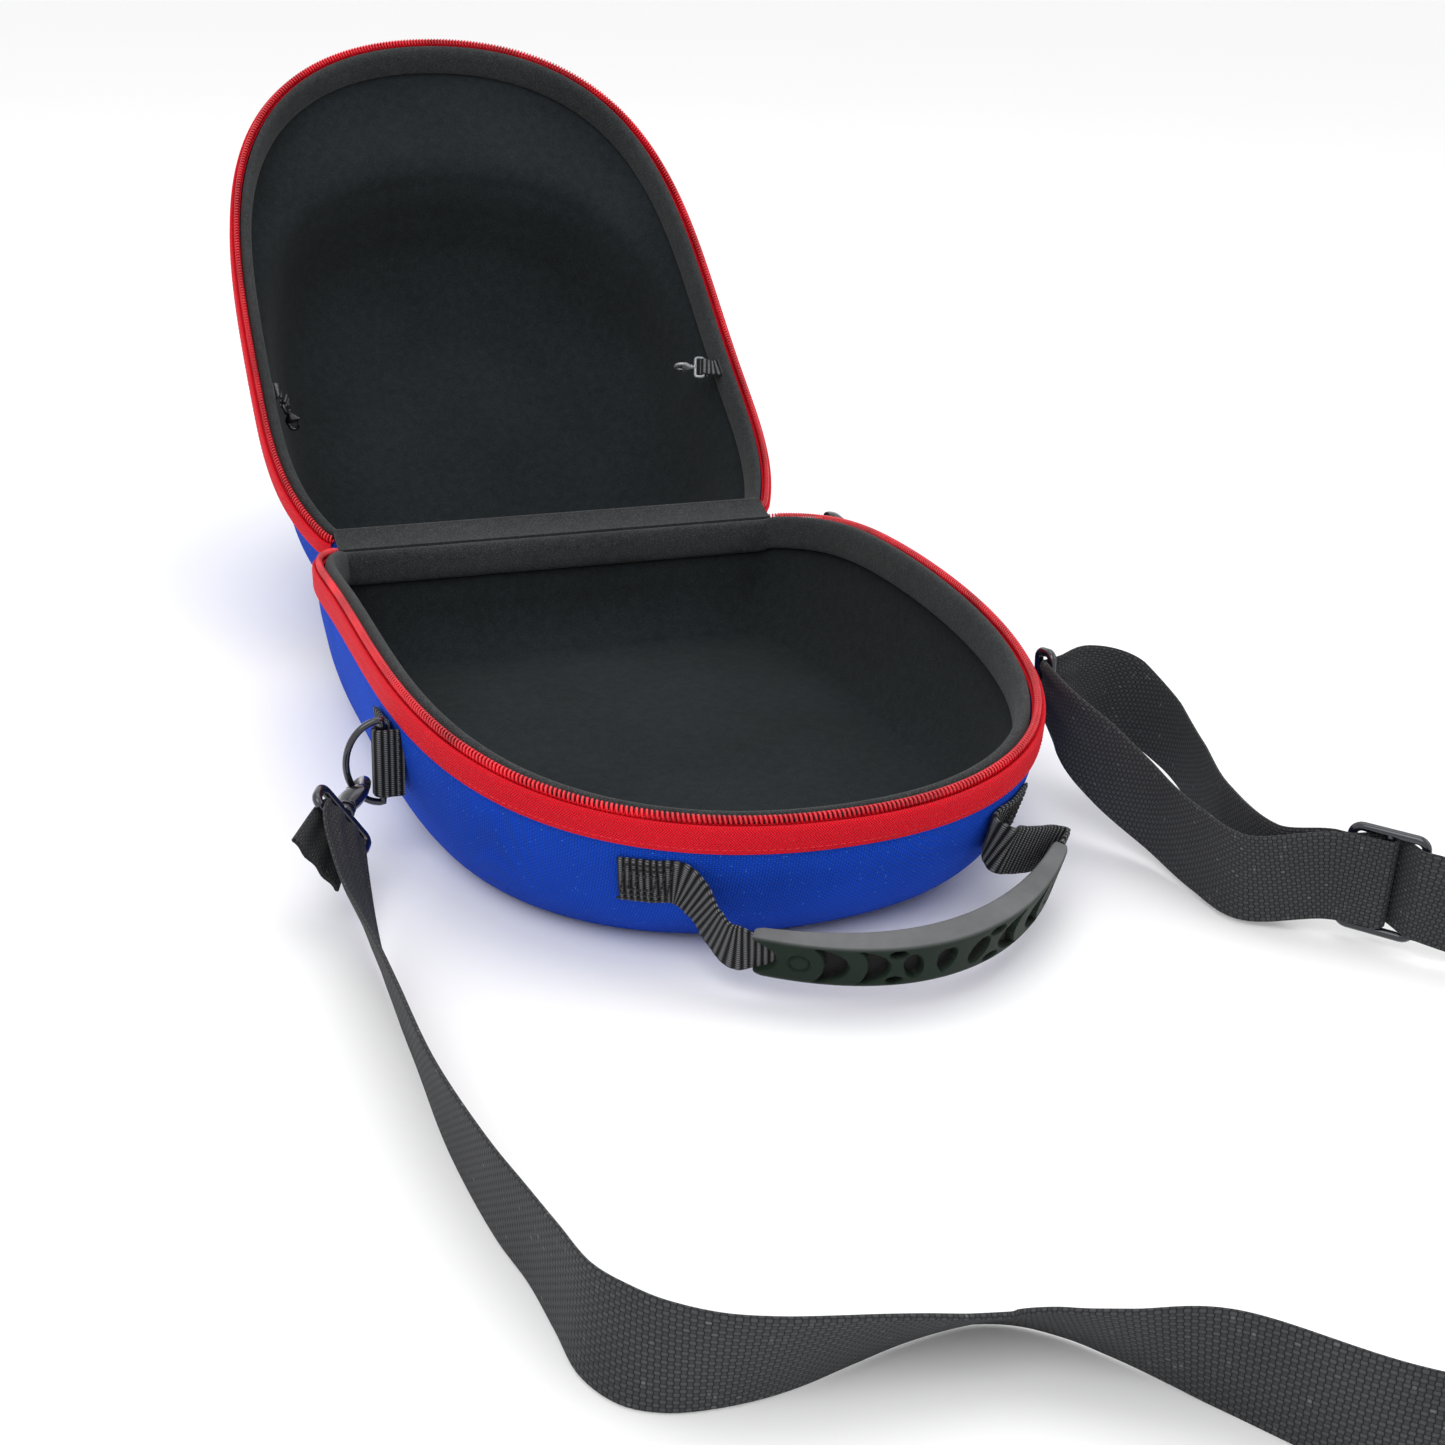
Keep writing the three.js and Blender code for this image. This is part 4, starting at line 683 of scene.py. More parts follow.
def herringbone_material(name, colour, deep, pale):
    """Zip tape: slanting ribs that turn back every few millimetres, with painted shade in the
    grooves between them.
    """
    net = Finish(name, 0.7, Specular_IOR_Level=0.15)
    where, along, across = net.cloth()
    zigzag = net.math("PINGPONG", net.times(across, 1000.0), TAPE_TURN)
    slant = net.plus(net.times(along, 1000.0), zigzag)
    wave = net.math("SINE", net.times(slant, 2 * math.pi / TAPE_RIB))
    relief = net.math("MULTIPLY_ADD", wave, 0.5, 0.5)
    # The deep colour is painted shade in the grooves between the slanting ribs.
    body = net.mix(net.ramp(relief, 0.1, 0.6), deep, colour)
    grain = net.ramp(net.noise(where, 1500.0), 0.62, 0.8, last=0.5)
    return net.dressed(net.mix(grain, body, pale), relief, 0.18)


def plastic_material(name, colour, deep, rough, coat=0.0, scale=900.0, depth=0.03, metal=0.0,
                     wear=None):
    """Moulded plastic, coated wire or paint with fine grain and a little wear."""
    net = Finish(name, rough, Coat_Weight=coat, Metallic=metal)
    where = net.place()
    grain = net.noise(where, scale, 3.0, 0.6)
    body = net.mix(net.ramp(net.noise(where, 45.0, 4.0), 0.3, 0.7), deep, colour)
    if wear:
        rubbed = net.ramp(net.noise(where, 380.0, 5.0, 0.7), 0.62, 0.74)
        body = net.mix(net.times(rubbed, 0.35), body, wear)
    worn = net.ramp(grain, 0.3, 0.7, rough - 0.06, rough + 0.08)
    net.tree.links.new(worn, net.shader.inputs["Roughness"])
    return net.dressed(body, grain, depth)


def grip_material(name, face, edge, hollow):
    """Moulded rubber: pale grey on its top and inner side, darker on its face, with painted shade
    in its hollows.
    """
    net = Finish(name, 0.6, Sheen_Weight=0.02, Specular_IOR_Level=0.2)
    side, recess_shade = (net.add("ShaderNodeAttribute", attribute_name=label).outputs["Fac"]
                    for label in (GRIP_FACE, GRIP_RECESS_SHADE))
    where = net.place()
    # The hollow colour is painted shade in the recesses of the outer face; the edge colour is the
    # pale grey of the top and inner side.
    body = net.mix(recess_shade, net.mix(side, edge, face), hollow)
    dust = net.ramp(net.noise(where, 60.0, 5.0, 0.6), 0.35, 0.7, 0.82, 1.12)
    return net.dressed(body, net.noise(where, 1300.0, 3.0, 0.65), 0.06, dust)


def darker(colour, share):
    return tuple(c * share for c in colour[:3]) + (1.0,)


MATERIALS = {}


def make_materials(colours):
    blue = tuple(colours.shell_blue) + (1.0,)
    red = tuple(colours.zip_red) + (1.0,)
    # deep_red is painted shade in the zip tape's grooves; on the teeth it is a darker random tone.
    deep_red = darker(red, 0.45)
    MATERIALS.update({
        # Blue cloth: its dark second colour is painted shade between the threads.
        "blue": woven_material(
            "blue_fabric", blue, darker(blue, 0.35), srgb(52, 116, 228), (0.9, 0.9),
            depth=0.2, sheen=0.0, rough=0.85, tint=0.14),
        "lining": felt_material("black_lining", srgb(31, 35, 37), srgb(44, 48, 51), 0.12, 0.04),
        "felt": felt_material("charcoal_felt", srgb(42, 44, 45), srgb(72, 74, 75), 0.3),
        # Zip tape: its deep red is painted shade between the slanting ribs.
        "tape": herringbone_material("red_tape", red, deep_red, srgb(246, 84, 96)),
        "teeth": plastic_material("red_teeth", red, deep_red, 0.36, coat=0.25, depth=0.02,
                                  wear=srgb(246, 100, 112)),
        # Strap webbing: its near-black second colour is painted shade between the threads.
        "strap": woven_material(
            "black_webbing", srgb(56, 57, 59), srgb(16, 16, 17), srgb(98, 99, 101), (1.4, 1.05),
            depth=0.3, sheen=0.02, rough=0.75, tint=0.24),
        # Ribbed webbing: near-black painted shade between the ribs, pale painted highlights on
        # their crests.
        "web": ribbed_material("ribbed_webbing", srgb(50, 51, 53), srgb(6, 6, 7),
                               srgb(132, 132, 134)),
        "thread": plastic_material("black_thread", srgb(16, 16, 17), srgb(7, 7, 8), 0.7,
                                   scale=2600.0),
        "red_thread": plastic_material("red_thread", red, deep_red, 0.65, scale=2600.0),
        "metal": plastic_material(
            "black_metal", (0.012, 0.014, 0.022, 1), (0.006, 0.007, 0.014, 1), 0.16,
            coat=0.8, metal=0.3, scale=700.0, depth=0.01, wear=(0.1, 0.1, 0.12, 1)),
        # Grip: dark outer face, pale grey top and inner side, near-black painted shade in the
        # hollows.
        "grip": grip_material("grey_grip", srgb(9, 28, 16), srgb(100, 102, 103), srgb(2, 2, 2)),
        "clip": plastic_material("clip_plastic", srgb(18, 19, 22), srgb(8, 8, 10), 0.3, coat=0.4),
        "pale_clip": plastic_material("pale_clip", srgb(150, 152, 156), srgb(100, 102, 106), 0.25,
                                      coat=0.5, metal=0.5),
    })


# ---- Geometry trees ----

def new_tree(name, **sizes):
    """A geometry tree with named sizes and a material: its wiring and its inputs."""
    tree = bpy.data.node_groups.new(name, "GeometryNodeTree")
    new_socket = tree.interface.new_socket
    new_socket(name="Geometry", in_out="INPUT", socket_type="NodeSocketGeometry")
    for label, size in sizes.items():
        kind = "NodeSocketInt" if isinstance(size, int) else "NodeSocketFloat"
        new_socket(name=label, in_out="INPUT", socket_type=kind).default_value = size
    new_socket(name="Material", in_out="INPUT", socket_type="NodeSocketMaterial")
    new_socket(name="Geometry", in_out="OUTPUT", socket_type="NodeSocketGeometry")
    net = Wiring(tree)
    return net, net.add("NodeGroupInput").outputs


def finish_tree(net, get, geometry):
    """Smooths, makes real and paints what a tree has grown."""
    smooth = net.add("GeometryNodeSetShadeSmooth", {"Geometry": geometry}).outputs[0]
    real = net.add("GeometryNodeRealizeInstances", {0: smooth}).outputs[0]
    painted = net.add("GeometryNodeSetMaterial", {"Geometry": real, "Material": get["Material"]})
    net.add("NodeGroupOutput", {0: painted.outputs[0]})
    return net.tree


def coil_tree():
    """A zip's coil: the rim line wound into a flat spiral and swept with a round thread."""
    net, get = new_tree("Zip Coil", Pitch=0.0015, Depth=0.0015, Height=0.0021, Thread=0.0005)
    wires = {"Curve": get["Geometry"], "Length": net.math("DIVIDE", get["Pitch"], TURN_STEPS)}
    line = net.add("GeometryNodeResampleCurve", wires, mode="LENGTH").outputs[0]
    level = net.add("GeometryNodeSetCurveNormal", {"Curve": line}, mode="Z_UP").outputs[0]
    index = net.add("GeometryNodeInputIndex").outputs[0]
    angle = net.times(index, 2 * math.pi / TURN_STEPS)
    normal = net.add("GeometryNodeInputNormal").outputs[0]
    tangent = net.add("GeometryNodeInputTangent").outputs[0]
    up = net.vector("CROSS_PRODUCT", tangent, normal)
    aside = net.scaled(normal, net.times(net.math("COSINE", angle), get["Depth"]))
    above = net.scaled(up, net.times(net.math("SINE", angle), get["Height"]))
    wires = {"Geometry": level, "Offset": net.vector("ADD", aside, above)}
    wound = net.add("GeometryNodeSetPosition", wires).outputs[0]
    wires = {"Resolution": 5, "Radius": get["Thread"]}
    profile = net.add("GeometryNodeCurvePrimitiveCircle", wires).outputs[0]
    wires = {"Curve": wound, "Profile Curve": profile, "Fill Caps": True}
    return finish_tree(net, get, net.add("GeometryNodeCurveToMesh", wires).outputs[0])


def stitch_tree():
    """A row of stitches: small rounded threads laid end to end along a line."""
    net, get = new_tree("Stitch Row", Pitch=0.0026, Length=0.0019, Thread=0.0004, Uneven=0.06,
                        Seed=7)
    wires = {"Curve": get["Geometry"], "Length": get["Pitch"]}
    points = net.add("GeometryNodeCurveToPoints", wires, mode="LENGTH").outputs
    wires = {"Segments": 6, "Rings": 5, "Radius": 1.0}
    bead = net.add("GeometryNodeMeshUVSphere", wires).outputs[0]
    slim = net.times(get["Thread"], 0.5)
    wires = {0: slim, 1: slim, 2: net.times(get["Length"], 0.5)}
    size = net.add("ShaderNodeCombineXYZ", wires).outputs[0]
    wires = {2: net.math("SUBTRACT", 1.0, get["Uneven"]), 3: net.plus(1.0, get["Uneven"]),
             "Seed": get["Seed"]}
    vary = net.add("FunctionNodeRandomValue", wires).outputs[1]
    wires = {"Points": points["Points"], "Instance": bead, "Rotation": points["Rotation"],
             "Scale": net.scaled(size, vary)}
    return finish_tree(net, get, net.add("GeometryNodeInstanceOnPoints", wires).outputs[0])


def grown(name, lines, tree, **inputs):
    """Runs a tree along open lines and keeps the result as a plain mesh."""
    curve = bpy.data.curves.new(name + "_line", "CURVE")
    curve.dimensions = "3D"
    for line in lines:
        spline = curve.splines.new("POLY")
        spline.points.add(len(line) - 1)
        spline.points.foreach_set("co", np.column_stack([line, np.ones(len(line))]).ravel())
    guide = in_scene(name + "_line", curve)
    modifier = guide.modifiers.new("tree", "NODES")
    modifier.node_group = tree
    for item in tree.interface.items_tree:
        if item.in_out == "INPUT" and item.name in inputs:
            modifier[item.identifier] = inputs[item.name]
    bpy.context.view_layer.update()
    depsgraph = bpy.context.evaluated_depsgraph_get()
    mesh = bpy.data.meshes.new_from_object(guide.evaluated_get(depsgraph))
    guide.modifiers.remove(modifier)
    bpy.data.objects.remove(guide)
    mesh.name = name
    return in_scene(name, mesh)


TREES = {}


def stitches(name, lines, body, material="thread", pitch=2.6, length=1.9, thread=0.45):
    """A seam's stitches along lines, with their sizes in millimetres."""
    if "stitch" not in TREES:
        TREES["stitch"] = stitch_tree()
    piece = grown(name, lines, TREES["stitch"], Pitch=pitch * MM, Length=length * MM,
                  Thread=thread * MM, Material=MATERIALS[material])
    done(piece, body, "red_tape" if material == "red_thread" else "black_webbing")


def done(piece, body, slot, *nodes):
    """Hangs a finished piece on the body it moves with, and hides the model's parts that it
    replaces.
    """
    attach(piece, body)
    if nodes:
        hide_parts(*nodes)


# ---- The case's halves ----

RIM = Rim(LOOP_POINTS)
HALVES = (("base", BASE_WALL, False, "root"), ("lid", LID_WALL, True, "lid"))


def tray(name, wall, lid, near, thickness, drop, material):
    """A closed hollow half: outer skin, rim and inner skin in one run of rows."""
    rows = wall_rows(wall, RIM, drop, TRAY_ROWS)
    outer = offset_rows(wall, rows, near) if near else rows
    inner = offset_rows(wall, rows, near + thickness)
    lip = (outer[0] + inner[0]) / 2 - (0, 0, wall["sign"] * 0.25 * thickness)
    crown = LID_CROWN if lid else 0.0
    grid = np.concatenate([closing_rows(outer[-1], crown)[::-1], outer[::-1], lip[None], inner,
                           closing_rows(inner[-1], crown)])
    placed = in_case(grid, lid)
    around = run_of(placed, True)
    around -= around[:, -1:] / 2
    return grid_mesh(name, placed, material, lengths=(runs(placed[:, RIM.x.argmin()]), around))


def section_piece(name, wall, lid, profile, material, rim=None):
    """A strip round the rim, closed round its profile."""
    whole = rim is None
    rim = rim or RIM
    grid = in_case(rim_section(wall, rim, profile), lid)
    along = np.repeat((rim.s * MM)[None], len(profile) + 1, 0)
    if whole:
        along = np.column_stack([along, np.full(len(along), RIM.length * MM)])
    down = runs(np.array(profile + [profile[0]])) * MM
    return grid_mesh(name, grid, material, around=whole, closed_rows=True, lengths=(down, along))


def zip_part():
    """The stretch of the rim that the zip runs along."""
    corner = HINGE_WIDTH / 2 - ZIP_PAST_HINGE
    return RIM.part(corner, RIM.length - corner)


def rim_line(wall, rim, inset, drop, lid):
    return in_case(rim_section(wall, rim, [(inset, drop)])[0], lid)


# Red tape's section in insets and drops: flat on the wall, curled over its edge to the coil
TAPE_PROFILE = [
    (0.0, 12.0), (-0.15, 9.5), (-0.1, 6.6), (-0.05, 4.6), (0.15, 3.5), (0.6, 2.9), (1.1, 3.0),
    (1.6, 3.6), (2.2, 3.9), (2.2, 4.5), (1.5, 4.4), (1.15, 4.7), (1.05, 6.0), (1.0, 9.0),
    (1.0, 12.0), (0.5, 12.2),
]
TAPE_FOLD = dict(near=1.3, far=4.5, top=3.9, bottom=4.75, radius=0.3, steps=2)
COIL_AT = (2.95, 2.2)
TAPE_SEAM_AT = (-0.05, 10.6)

# The zip's slider: its place, and its ways along the tape, out from the case and up
ZIP_SLIDER = (113.4, 112.7, 57.3)
ZIP_ALONG, ZIP_OUT, UP = (0.2218, -0.9795, 0.0), (0.9795, 0.2218, 0.0), (0.0, 0.0, 1.0)
ZIP_BODY = ((-6, 2.0, 1.4, 0, 3), (-5.2, 3.3, 2.1, 0, 3), (-1, 4.0, 2.4, 0, 3.4),
            (3, 3.4, 2.3, 0, 3), (5.4, 2.6, 2.0, 0, 3), (6, 1.8, 1.3, 0, 3))
ZIP_ARCH = ((-4, 1.6, 0), (-3.4, 3.8, 0), (0, 4.5, 0), (3, 3.7, 0), (3.6, 1.6, 0))
ZIP_PULL = ((0, 1.6, 0.7, 0, 3), (1, 2.3, 0.9, 0, 3), (5, 1.9, 0.8, 0, 3), (14, 2.9, 0.9, 0, 3.4),
            (19.5, 2.8, 0.9, 0, 3), (20.6, 2.0, 0.7, 0, 3))
ZIP_PULL_OUT = 3.7


# ---- Add-on ----

class CaseLooks(bpy.types.PropertyGroup):
    """Sizes and colours of the case's finish"""
    shell_blue: bpy.props.FloatVectorProperty(
        name="Shell blue", description="Colour of the outer cloth", subtype="COLOR", size=3,
        min=0, max=1, default=srgb(12, 70, 200)[:3])
    zip_red: bpy.props.FloatVectorProperty(
        name="Zip red", description="Colour of the zip's tape and coil", subtype="COLOR", size=3,
        min=0, max=1, default=srgb(232, 20, 40)[:3])
    coil_pitch: bpy.props.FloatProperty(
        name="Coil pitch", description="Distance from one zip tooth to the next",
        subtype="DISTANCE", unit="LENGTH", default=0.0015, min=0.0008, max=0.004)


class CASE_OT_shells(bpy.types.Operator):
    """Blue cloth shells of both halves"""
    bl_idname = "case.shells"
    bl_label = "Shells"

    def execute(self, context):
        for half, wall, lid, body in HALVES:
            piece = tray(f"{half}_shell_cloth", wall, lid, 0.0, SHELL, SHELL_DROP,
                         MATERIALS["blue"])
            done(piece, body, "blue_fabric", f"{half}_shell")
        return {"FINISHED"}


class CASE_OT_linings(bpy.types.Operator):
    """Black linings inside both halves"""
    bl_idname = "case.linings"
    bl_label = "Linings"

    def execute(self, context):
        for half, wall, lid, body in HALVES:
            piece = tray(f"{half}_lining_cloth", wall, lid, SHELL + GAP, LINING, LINING_DROP,
                         MATERIALS["lining"])
            done(piece, body, "black_lining", f"{half}_lining")
        return {"FINISHED"}


# The binding's section in insets and drops: its middle, half sizes and roundness
FELT_MIDDLE = (7.25, 8.2)
FELT_HALF = (2.5, 7.0)
FELT_POWER = 0.75


class CASE_OT_bindings(bpy.types.Operator):
    """Felt bands round the inside of both rims"""
    bl_idname = "case.bindings"
    bl_label = "Rim bindings"

    def execute(self, context):
        profile = []
        for a in np.linspace(0, 2 * math.pi, 28, endpoint=False):
            round_place = zip(FELT_MIDDLE, FELT_HALF, (math.cos(a), math.sin(a)))
            profile.append(tuple(middle + half * math.copysign(abs(way) ** FELT_POWER, way)
                                 for middle, half, way in round_place))
        for half, wall, lid, body in HALVES:
            piece = section_piece(f"{half}_binding_felt", wall, lid, profile, MATERIALS["felt"])
            done(piece, body, "charcoal_felt", f"{half}_rim_binding")
        return {"FINISHED"}


class CASE_OT_zip(bpy.types.Operator):
    """Zip tapes, coils, their seams and the slider"""
    bl_idname = "case.zip"
    bl_label = "Zip"

    def execute(self, context):
        tree = coil_tree()
        rim = zip_part()
        fold = rounded_box(**TAPE_FOLD)
        for half, wall, lid, body in HALVES:
            tape = section_piece(f"{half}_tape_cloth", wall, lid, TAPE_PROFILE, MATERIALS["tape"],
                                 rim)
            done(tape, body, "red_tape", f"{half}_zip_tape")
            core = section_piece(f"{half}_tape_fold", wall, lid, fold, MATERIALS["tape"], rim)
            done(core, body, "red_tape")
            coil = grown(f"{half}_coil", [rim_line(wall, rim, *COIL_AT, lid)], tree,
                         Pitch=context.scene.case_looks.coil_pitch,
                         Material=MATERIALS["teeth"], **COIL_SIZES)
            done(coil, body, "red_teeth", f"{half}_zip_teeth")
            seam = rim_line(wall, rim, *TAPE_SEAM_AT, lid)
            stitches(f"{half}_tape_seam", [seam], body, "red_thread", 2.4, 1.8, 0.4)
        ways = (ZIP_ALONG, ZIP_OUT, UP)
        pull_place = np.array(ZIP_SLIDER) + np.array(ZIP_OUT) * ZIP_PULL_OUT
        arch = wire_grid(smooth_route(ZIP_ARCH, 0.5), 0.8, 8, closed=False)
        slider = assembled("zip_slider_pull", MATERIALS["metal"], (
            (loft_grid(ZIP_BODY), LOFT, ZIP_SLIDER, ways),
            (arch, OPEN_WIRE, ZIP_SLIDER, ways),
            (loft_grid(ZIP_PULL), LOFT, pull_place, ((0.0, 0.0, -1.0), ZIP_OUT, ZIP_ALONG)),
        ))
        done(slider, "root", "black_metal", "zip_slider")
        return {"FINISHED"}


# The hinge cloth's ends: how far down each wall it reaches, its level there and half thickness
HINGE_REACH = 6.4
HINGE_LEVEL = 0.9
HINGE_HALF_THICK = 0.7
HINGE_SIDE = 3.2
HINGE_SEAM = (5.2, 0.25)


class CASE_OT_hinge(bpy.types.Operator):
    """Cloth hinge along the straight back edge"""
    bl_idname = "case.hinge"
    bl_label = "Cloth hinge"

    def execute(self, context):
        half = HINGE_WIDTH / 2 - HINGE_SIDE
        base_end = in_case((0, -HINGE_REACH, -HINGE_LEVEL), False)
        lid_end = in_case((0, -HINGE_REACH, HINGE_LEVEL), True)
        fold = np.array((0, HINGE_Y, BASE_HEIGHT + 0.2)) * MM
        t = np.linspace(0, 1, 15)[:, None]
        line = base_end * (1 - t) ** 2 + fold * 2 * t * (1 - t) + lid_end * t ** 2
        grid = np.stack([line + (x, 0, 0) for x in np.linspace(-half, half, 60) * MM])
        normal = unit(np.cross((1, 0, 0), np.gradient(line, axis=0))) * HINGE_HALF_THICK * MM
        skin = np.concatenate([grid + normal, (grid - normal)[:, ::-1]], 1)
        piece = grid_mesh("hinge_cloth", skin, MATERIALS["felt"])
        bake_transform(piece)
        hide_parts("hinge_strip_base", "hinge_strip_lid")
        across = np.linspace(-half + 2, half - 2, 80)
        reach, level = HINGE_SEAM
        for name, wall, lid, body in HALVES:
            seam = np.stack([across, across * 0 - reach, across * 0 + wall["sign"] * level], 1)
            stitches(f"hinge_seam_{name}", [in_case(seam, lid)], body)
        return {"FINISHED"}


# The rings' straight sides, on the right, and the web loops round them
RING = (114.9, -37.7, 38.0)
RING_HEIGHT = 29.2
RING_STRAIGHT = 26.4
RING_BULGE = 12.0
RING_WIRE = 1.2
LOOP_RADIUS = 2.7
LOOP_WIDTH = 23.8
LOOP_SEAM = 10.5
LOOP_STITCH_LIFT = 0.95
SIDES = (("left", -1, (-1.0, 0.0, 0.0)), ("right", 1, (0.643, 0.766, 0.0)))


class CASE_OT_side_loops(bpy.types.Operator):
    """Web loops and wire rings on both sides"""
    bl_idname = "case.side_loops"
    bl_label = "Side loops and rings"

    def execute(self, context):
        for name, side, out in SIDES:
            self.loop(side, name)
            centre = np.array((side * RING[0], RING[1], RING[2]))
            path = [centre + np.array(out) * RING_BULGE * math.cos(a)
                    + (0, 0, RING_HEIGHT / 2 * math.sin(a))
                    for a in np.radians(np.linspace(-90, 90, 40))]
            path += [centre + (0, 0, z)
                     for z in np.linspace(RING_STRAIGHT / 2, -RING_STRAIGHT / 2, 12)]
            ring = grid_mesh(f"ring_{name}", wire_grid(np.array(path) * MM, RING_WIRE * MM),
                             MATERIALS["metal"], **CLOSED_WIRE)
            done(ring, "root", "black_metal", f"d_ring_{name}")
        return {"FINISHED"}

    def loop(self, side, name):
        cx, cy, cz = RING
        r = LOOP_RADIUS
        rows = [(111.3, -18.3, 0.17), (110.4, -27.5, 0.17), (110.3, -31.6, 0.14),
                (111.7, cy + r + 0.5, 0.04), (113.6, cy + r, 0.0)]
        rows += [(cx + r * math.cos(a), cy + r * math.sin(a), 0.0)
                 for a in np.radians(np.linspace(90, -90, 9))]
        rows += [(112.6, cy - r, 0.0), (110.4, cy - r, 0.02), (108.3, cy - r, 0.06)]
        table = [(side * x, y, cz, side * lean, 0.0, 1.0) for x, y, lean in rows]
        route = smooth_route(table, 0.5)
        piece = band_mesh(f"side_loop_web_{name}", route, LOOP_WIDTH, ribs(route, 1.2, 1.6),
                          MATERIALS["web"])
        done(piece, "root", "black_webbing", f"side_loop_{name}")
        seams = []
        for y in (cy - r - LOOP_STITCH_LIFT, cy + r + LOOP_STITCH_LIFT):
            for x in (cx - 3.2, cx - 4.9):
                seams.append(np.array([(side * x, y, cz + z)
                                       for z in np.linspace(-LOOP_SEAM, LOOP_SEAM, 12)]) * MM)
        for start in (1.6, 9.6):
            seams.append(line_on_band(route, ((start, -LOOP_SEAM), (start, LOOP_SEAM)),
                                      LOOP_STITCH_LIFT * side))
        stitches(f"side_loop_stitches_{name}", seams, "root", pitch=2.2, length=1.7)


# Places, ways to the eye, and long sides of the snap hooks' frames
HOOKS = (
    ("left", (-124.2, -37.7, 28.8), (-0.39, -0.919, -0.06), (-0.572, 0.191, 0.797)),
    ("right", (122.5, -28.6, 40.3), (0.02, -0.985, 0.169), (0.017, 0.17, 0.985)),
)
HOOK_BODY = (
    (2.9, 1.8, 5.0, 0, 2.4), (3.6, 2.8, 6.4, 0, 2.1), (5.4, 3.5, 7.0, 0, 1.8),
    (8.0, 3.4, 5.8, 0, 1.7), (10.2, 2.8, 3.9, 0, 1.9), (11.4, 2.3, 2.8, 0, 2),
    (11.9, 1.6, 2.0, 0, 2),
)
HOOK_BARREL = (
    (11.3, 1.8, 1.8, 0, 2), (11.7, 2.8, 2.8, 0, 2), (12.7, 2.9, 2.9, 0, 2), (13.1, 1.9, 1.9, 0, 2),
    (14.1, 1.8, 1.8, 0, 2), (14.5, 2.9, 2.9, 0, 2), (15.6, 3.0, 3.0, 0, 2), (16.3, 2.2, 2.2, 0, 2),
)
HOOK_ARC = (
    (6.6, 4.2, 0), (3.6, 4.7, 0), (1.4, 4.6, 0), (-0.9, 4.2, 0), (-2.9, 3.1, 0), (-4.1, 1.2, 0),
    (-4.1, -1.2, 0), (-2.9, -3.1, 0), (-1.0, -4.2, 0), (0.6, -4.4, 0),
)
HOOK_GATE = (
    (6.8, -4.0, 0), (4.4, -4.7, 0), (2.4, -4.6, 0), (0.2, -4.1, 0),
)
HOOK_THUMB = (
    (3.4, 0.5, 0.5, -5.2, 2), (3.8, 1.5, 1.3, -5.9, 2), (4.8, 2.0, 1.7, -6.4, 2),
    (5.9, 1.6, 1.3, -6.0, 2), (6.5, 0.6, 0.6, -5.4, 2),
)


def snap_hook(name, place, way, across, finish, scale=1.0, lid=False):
    """A swivel snap hook: nose, sprung gate, ridged body, swivel and the eye for a web."""
    way, across = unit(np.array(way, float)), np.array(across, float)
    across = unit(across - way * (across @ way))
    ways = (way, np.cross(across, way), across)
    arc, gate = smooth_route(HOOK_ARC, 0.5), smooth_route(HOOK_GATE, 0.5)
    thin = np.interp(np.arange(len(arc)), (0, len(arc) * 0.6, len(arc) - 1), (2.0, 1.8, 1.0))
    skins = (
        (loft_grid(HOOK_BODY), LOFT), (loft_grid(HOOK_BARREL, 20, 0.3), LOFT),
        (loft_grid(HOOK_THUMB, 14, 0.4), LOFT), (wire_grid(arc, thin, 14, closed=False), OPEN_WIRE),
        (wire_grid(gate, 0.95, 10, closed=False), OPEN_WIRE),
        (wire_grid(round_frame(16, 24.5, 11.7, 2.6), 1.65, 14), CLOSED_WIRE),
    )
    return assembled(name, finish, [skin + (place, ways) for skin in skins], scale, lid)


class CASE_OT_hooks(bpy.types.Operator):
    """Snap hooks that hold the strap to the rings"""
    bl_idname = "case.hooks"
    bl_label = "Snap hooks"

    def execute(self, context):
        for name, place, way, across in HOOKS:
            hook = snap_hook(f"hook_{name}", place, way, across, MATERIALS["metal"])
            done(hook, "root", "black_metal", f"snap_hook_{name}")
        return {"FINISHED"}


# The strap's length adjuster: its place, its ways and its frame
SLIDER_PLACE = (169.6, -175.4, 21.8)
SLIDER_WAYS = ((-0.61, 0.792, 0.0), (-0.792, -0.61, 0.0), (0.0, 0.0, 1.0))
SLIDER_FRAME = (-11, 11, 16.8, 3)
SLIDER_BAR = 16.4


class CASE_OT_strap(bpy.types.Operator):
    """Shoulder strap, a woven band from hook to hook, and its slider"""
    bl_idname = "case.strap"
    bl_label = "Shoulder strap"

    def execute(self, context):
        route = smooth_route(STRAP_ROUTE, 1.8)
        gather = np.clip(route[:, 6], 0, 1)
        width = STRAP_WIDTH + (GATHERED_WIDTH - STRAP_WIDTH) * gather
        piece = band_mesh("strap_band", route, width, STRAP_THICKNESS, MATERIALS["strap"],
                          GATHER_RIPPLE * gather, 17)
        done(piece, "root", "black_webbing", "shoulder_strap")
        bar = [(0.0, 0.0, z) for z in np.linspace(-SLIDER_BAR, SLIDER_BAR, 12)]
        adjuster = assembled("strap_adjuster", MATERIALS["metal"], (
            (wire_grid(round_frame(*SLIDER_FRAME), 1.5), CLOSED_WIRE, SLIDER_PLACE, SLIDER_WAYS),
            (wire_grid(bar, 1.45, closed=False), OPEN_WIRE, SLIDER_PLACE, SLIDER_WAYS),
        ))
        done(adjuster, "root", "black_metal", "strap_slider")
        return {"FINISHED"}


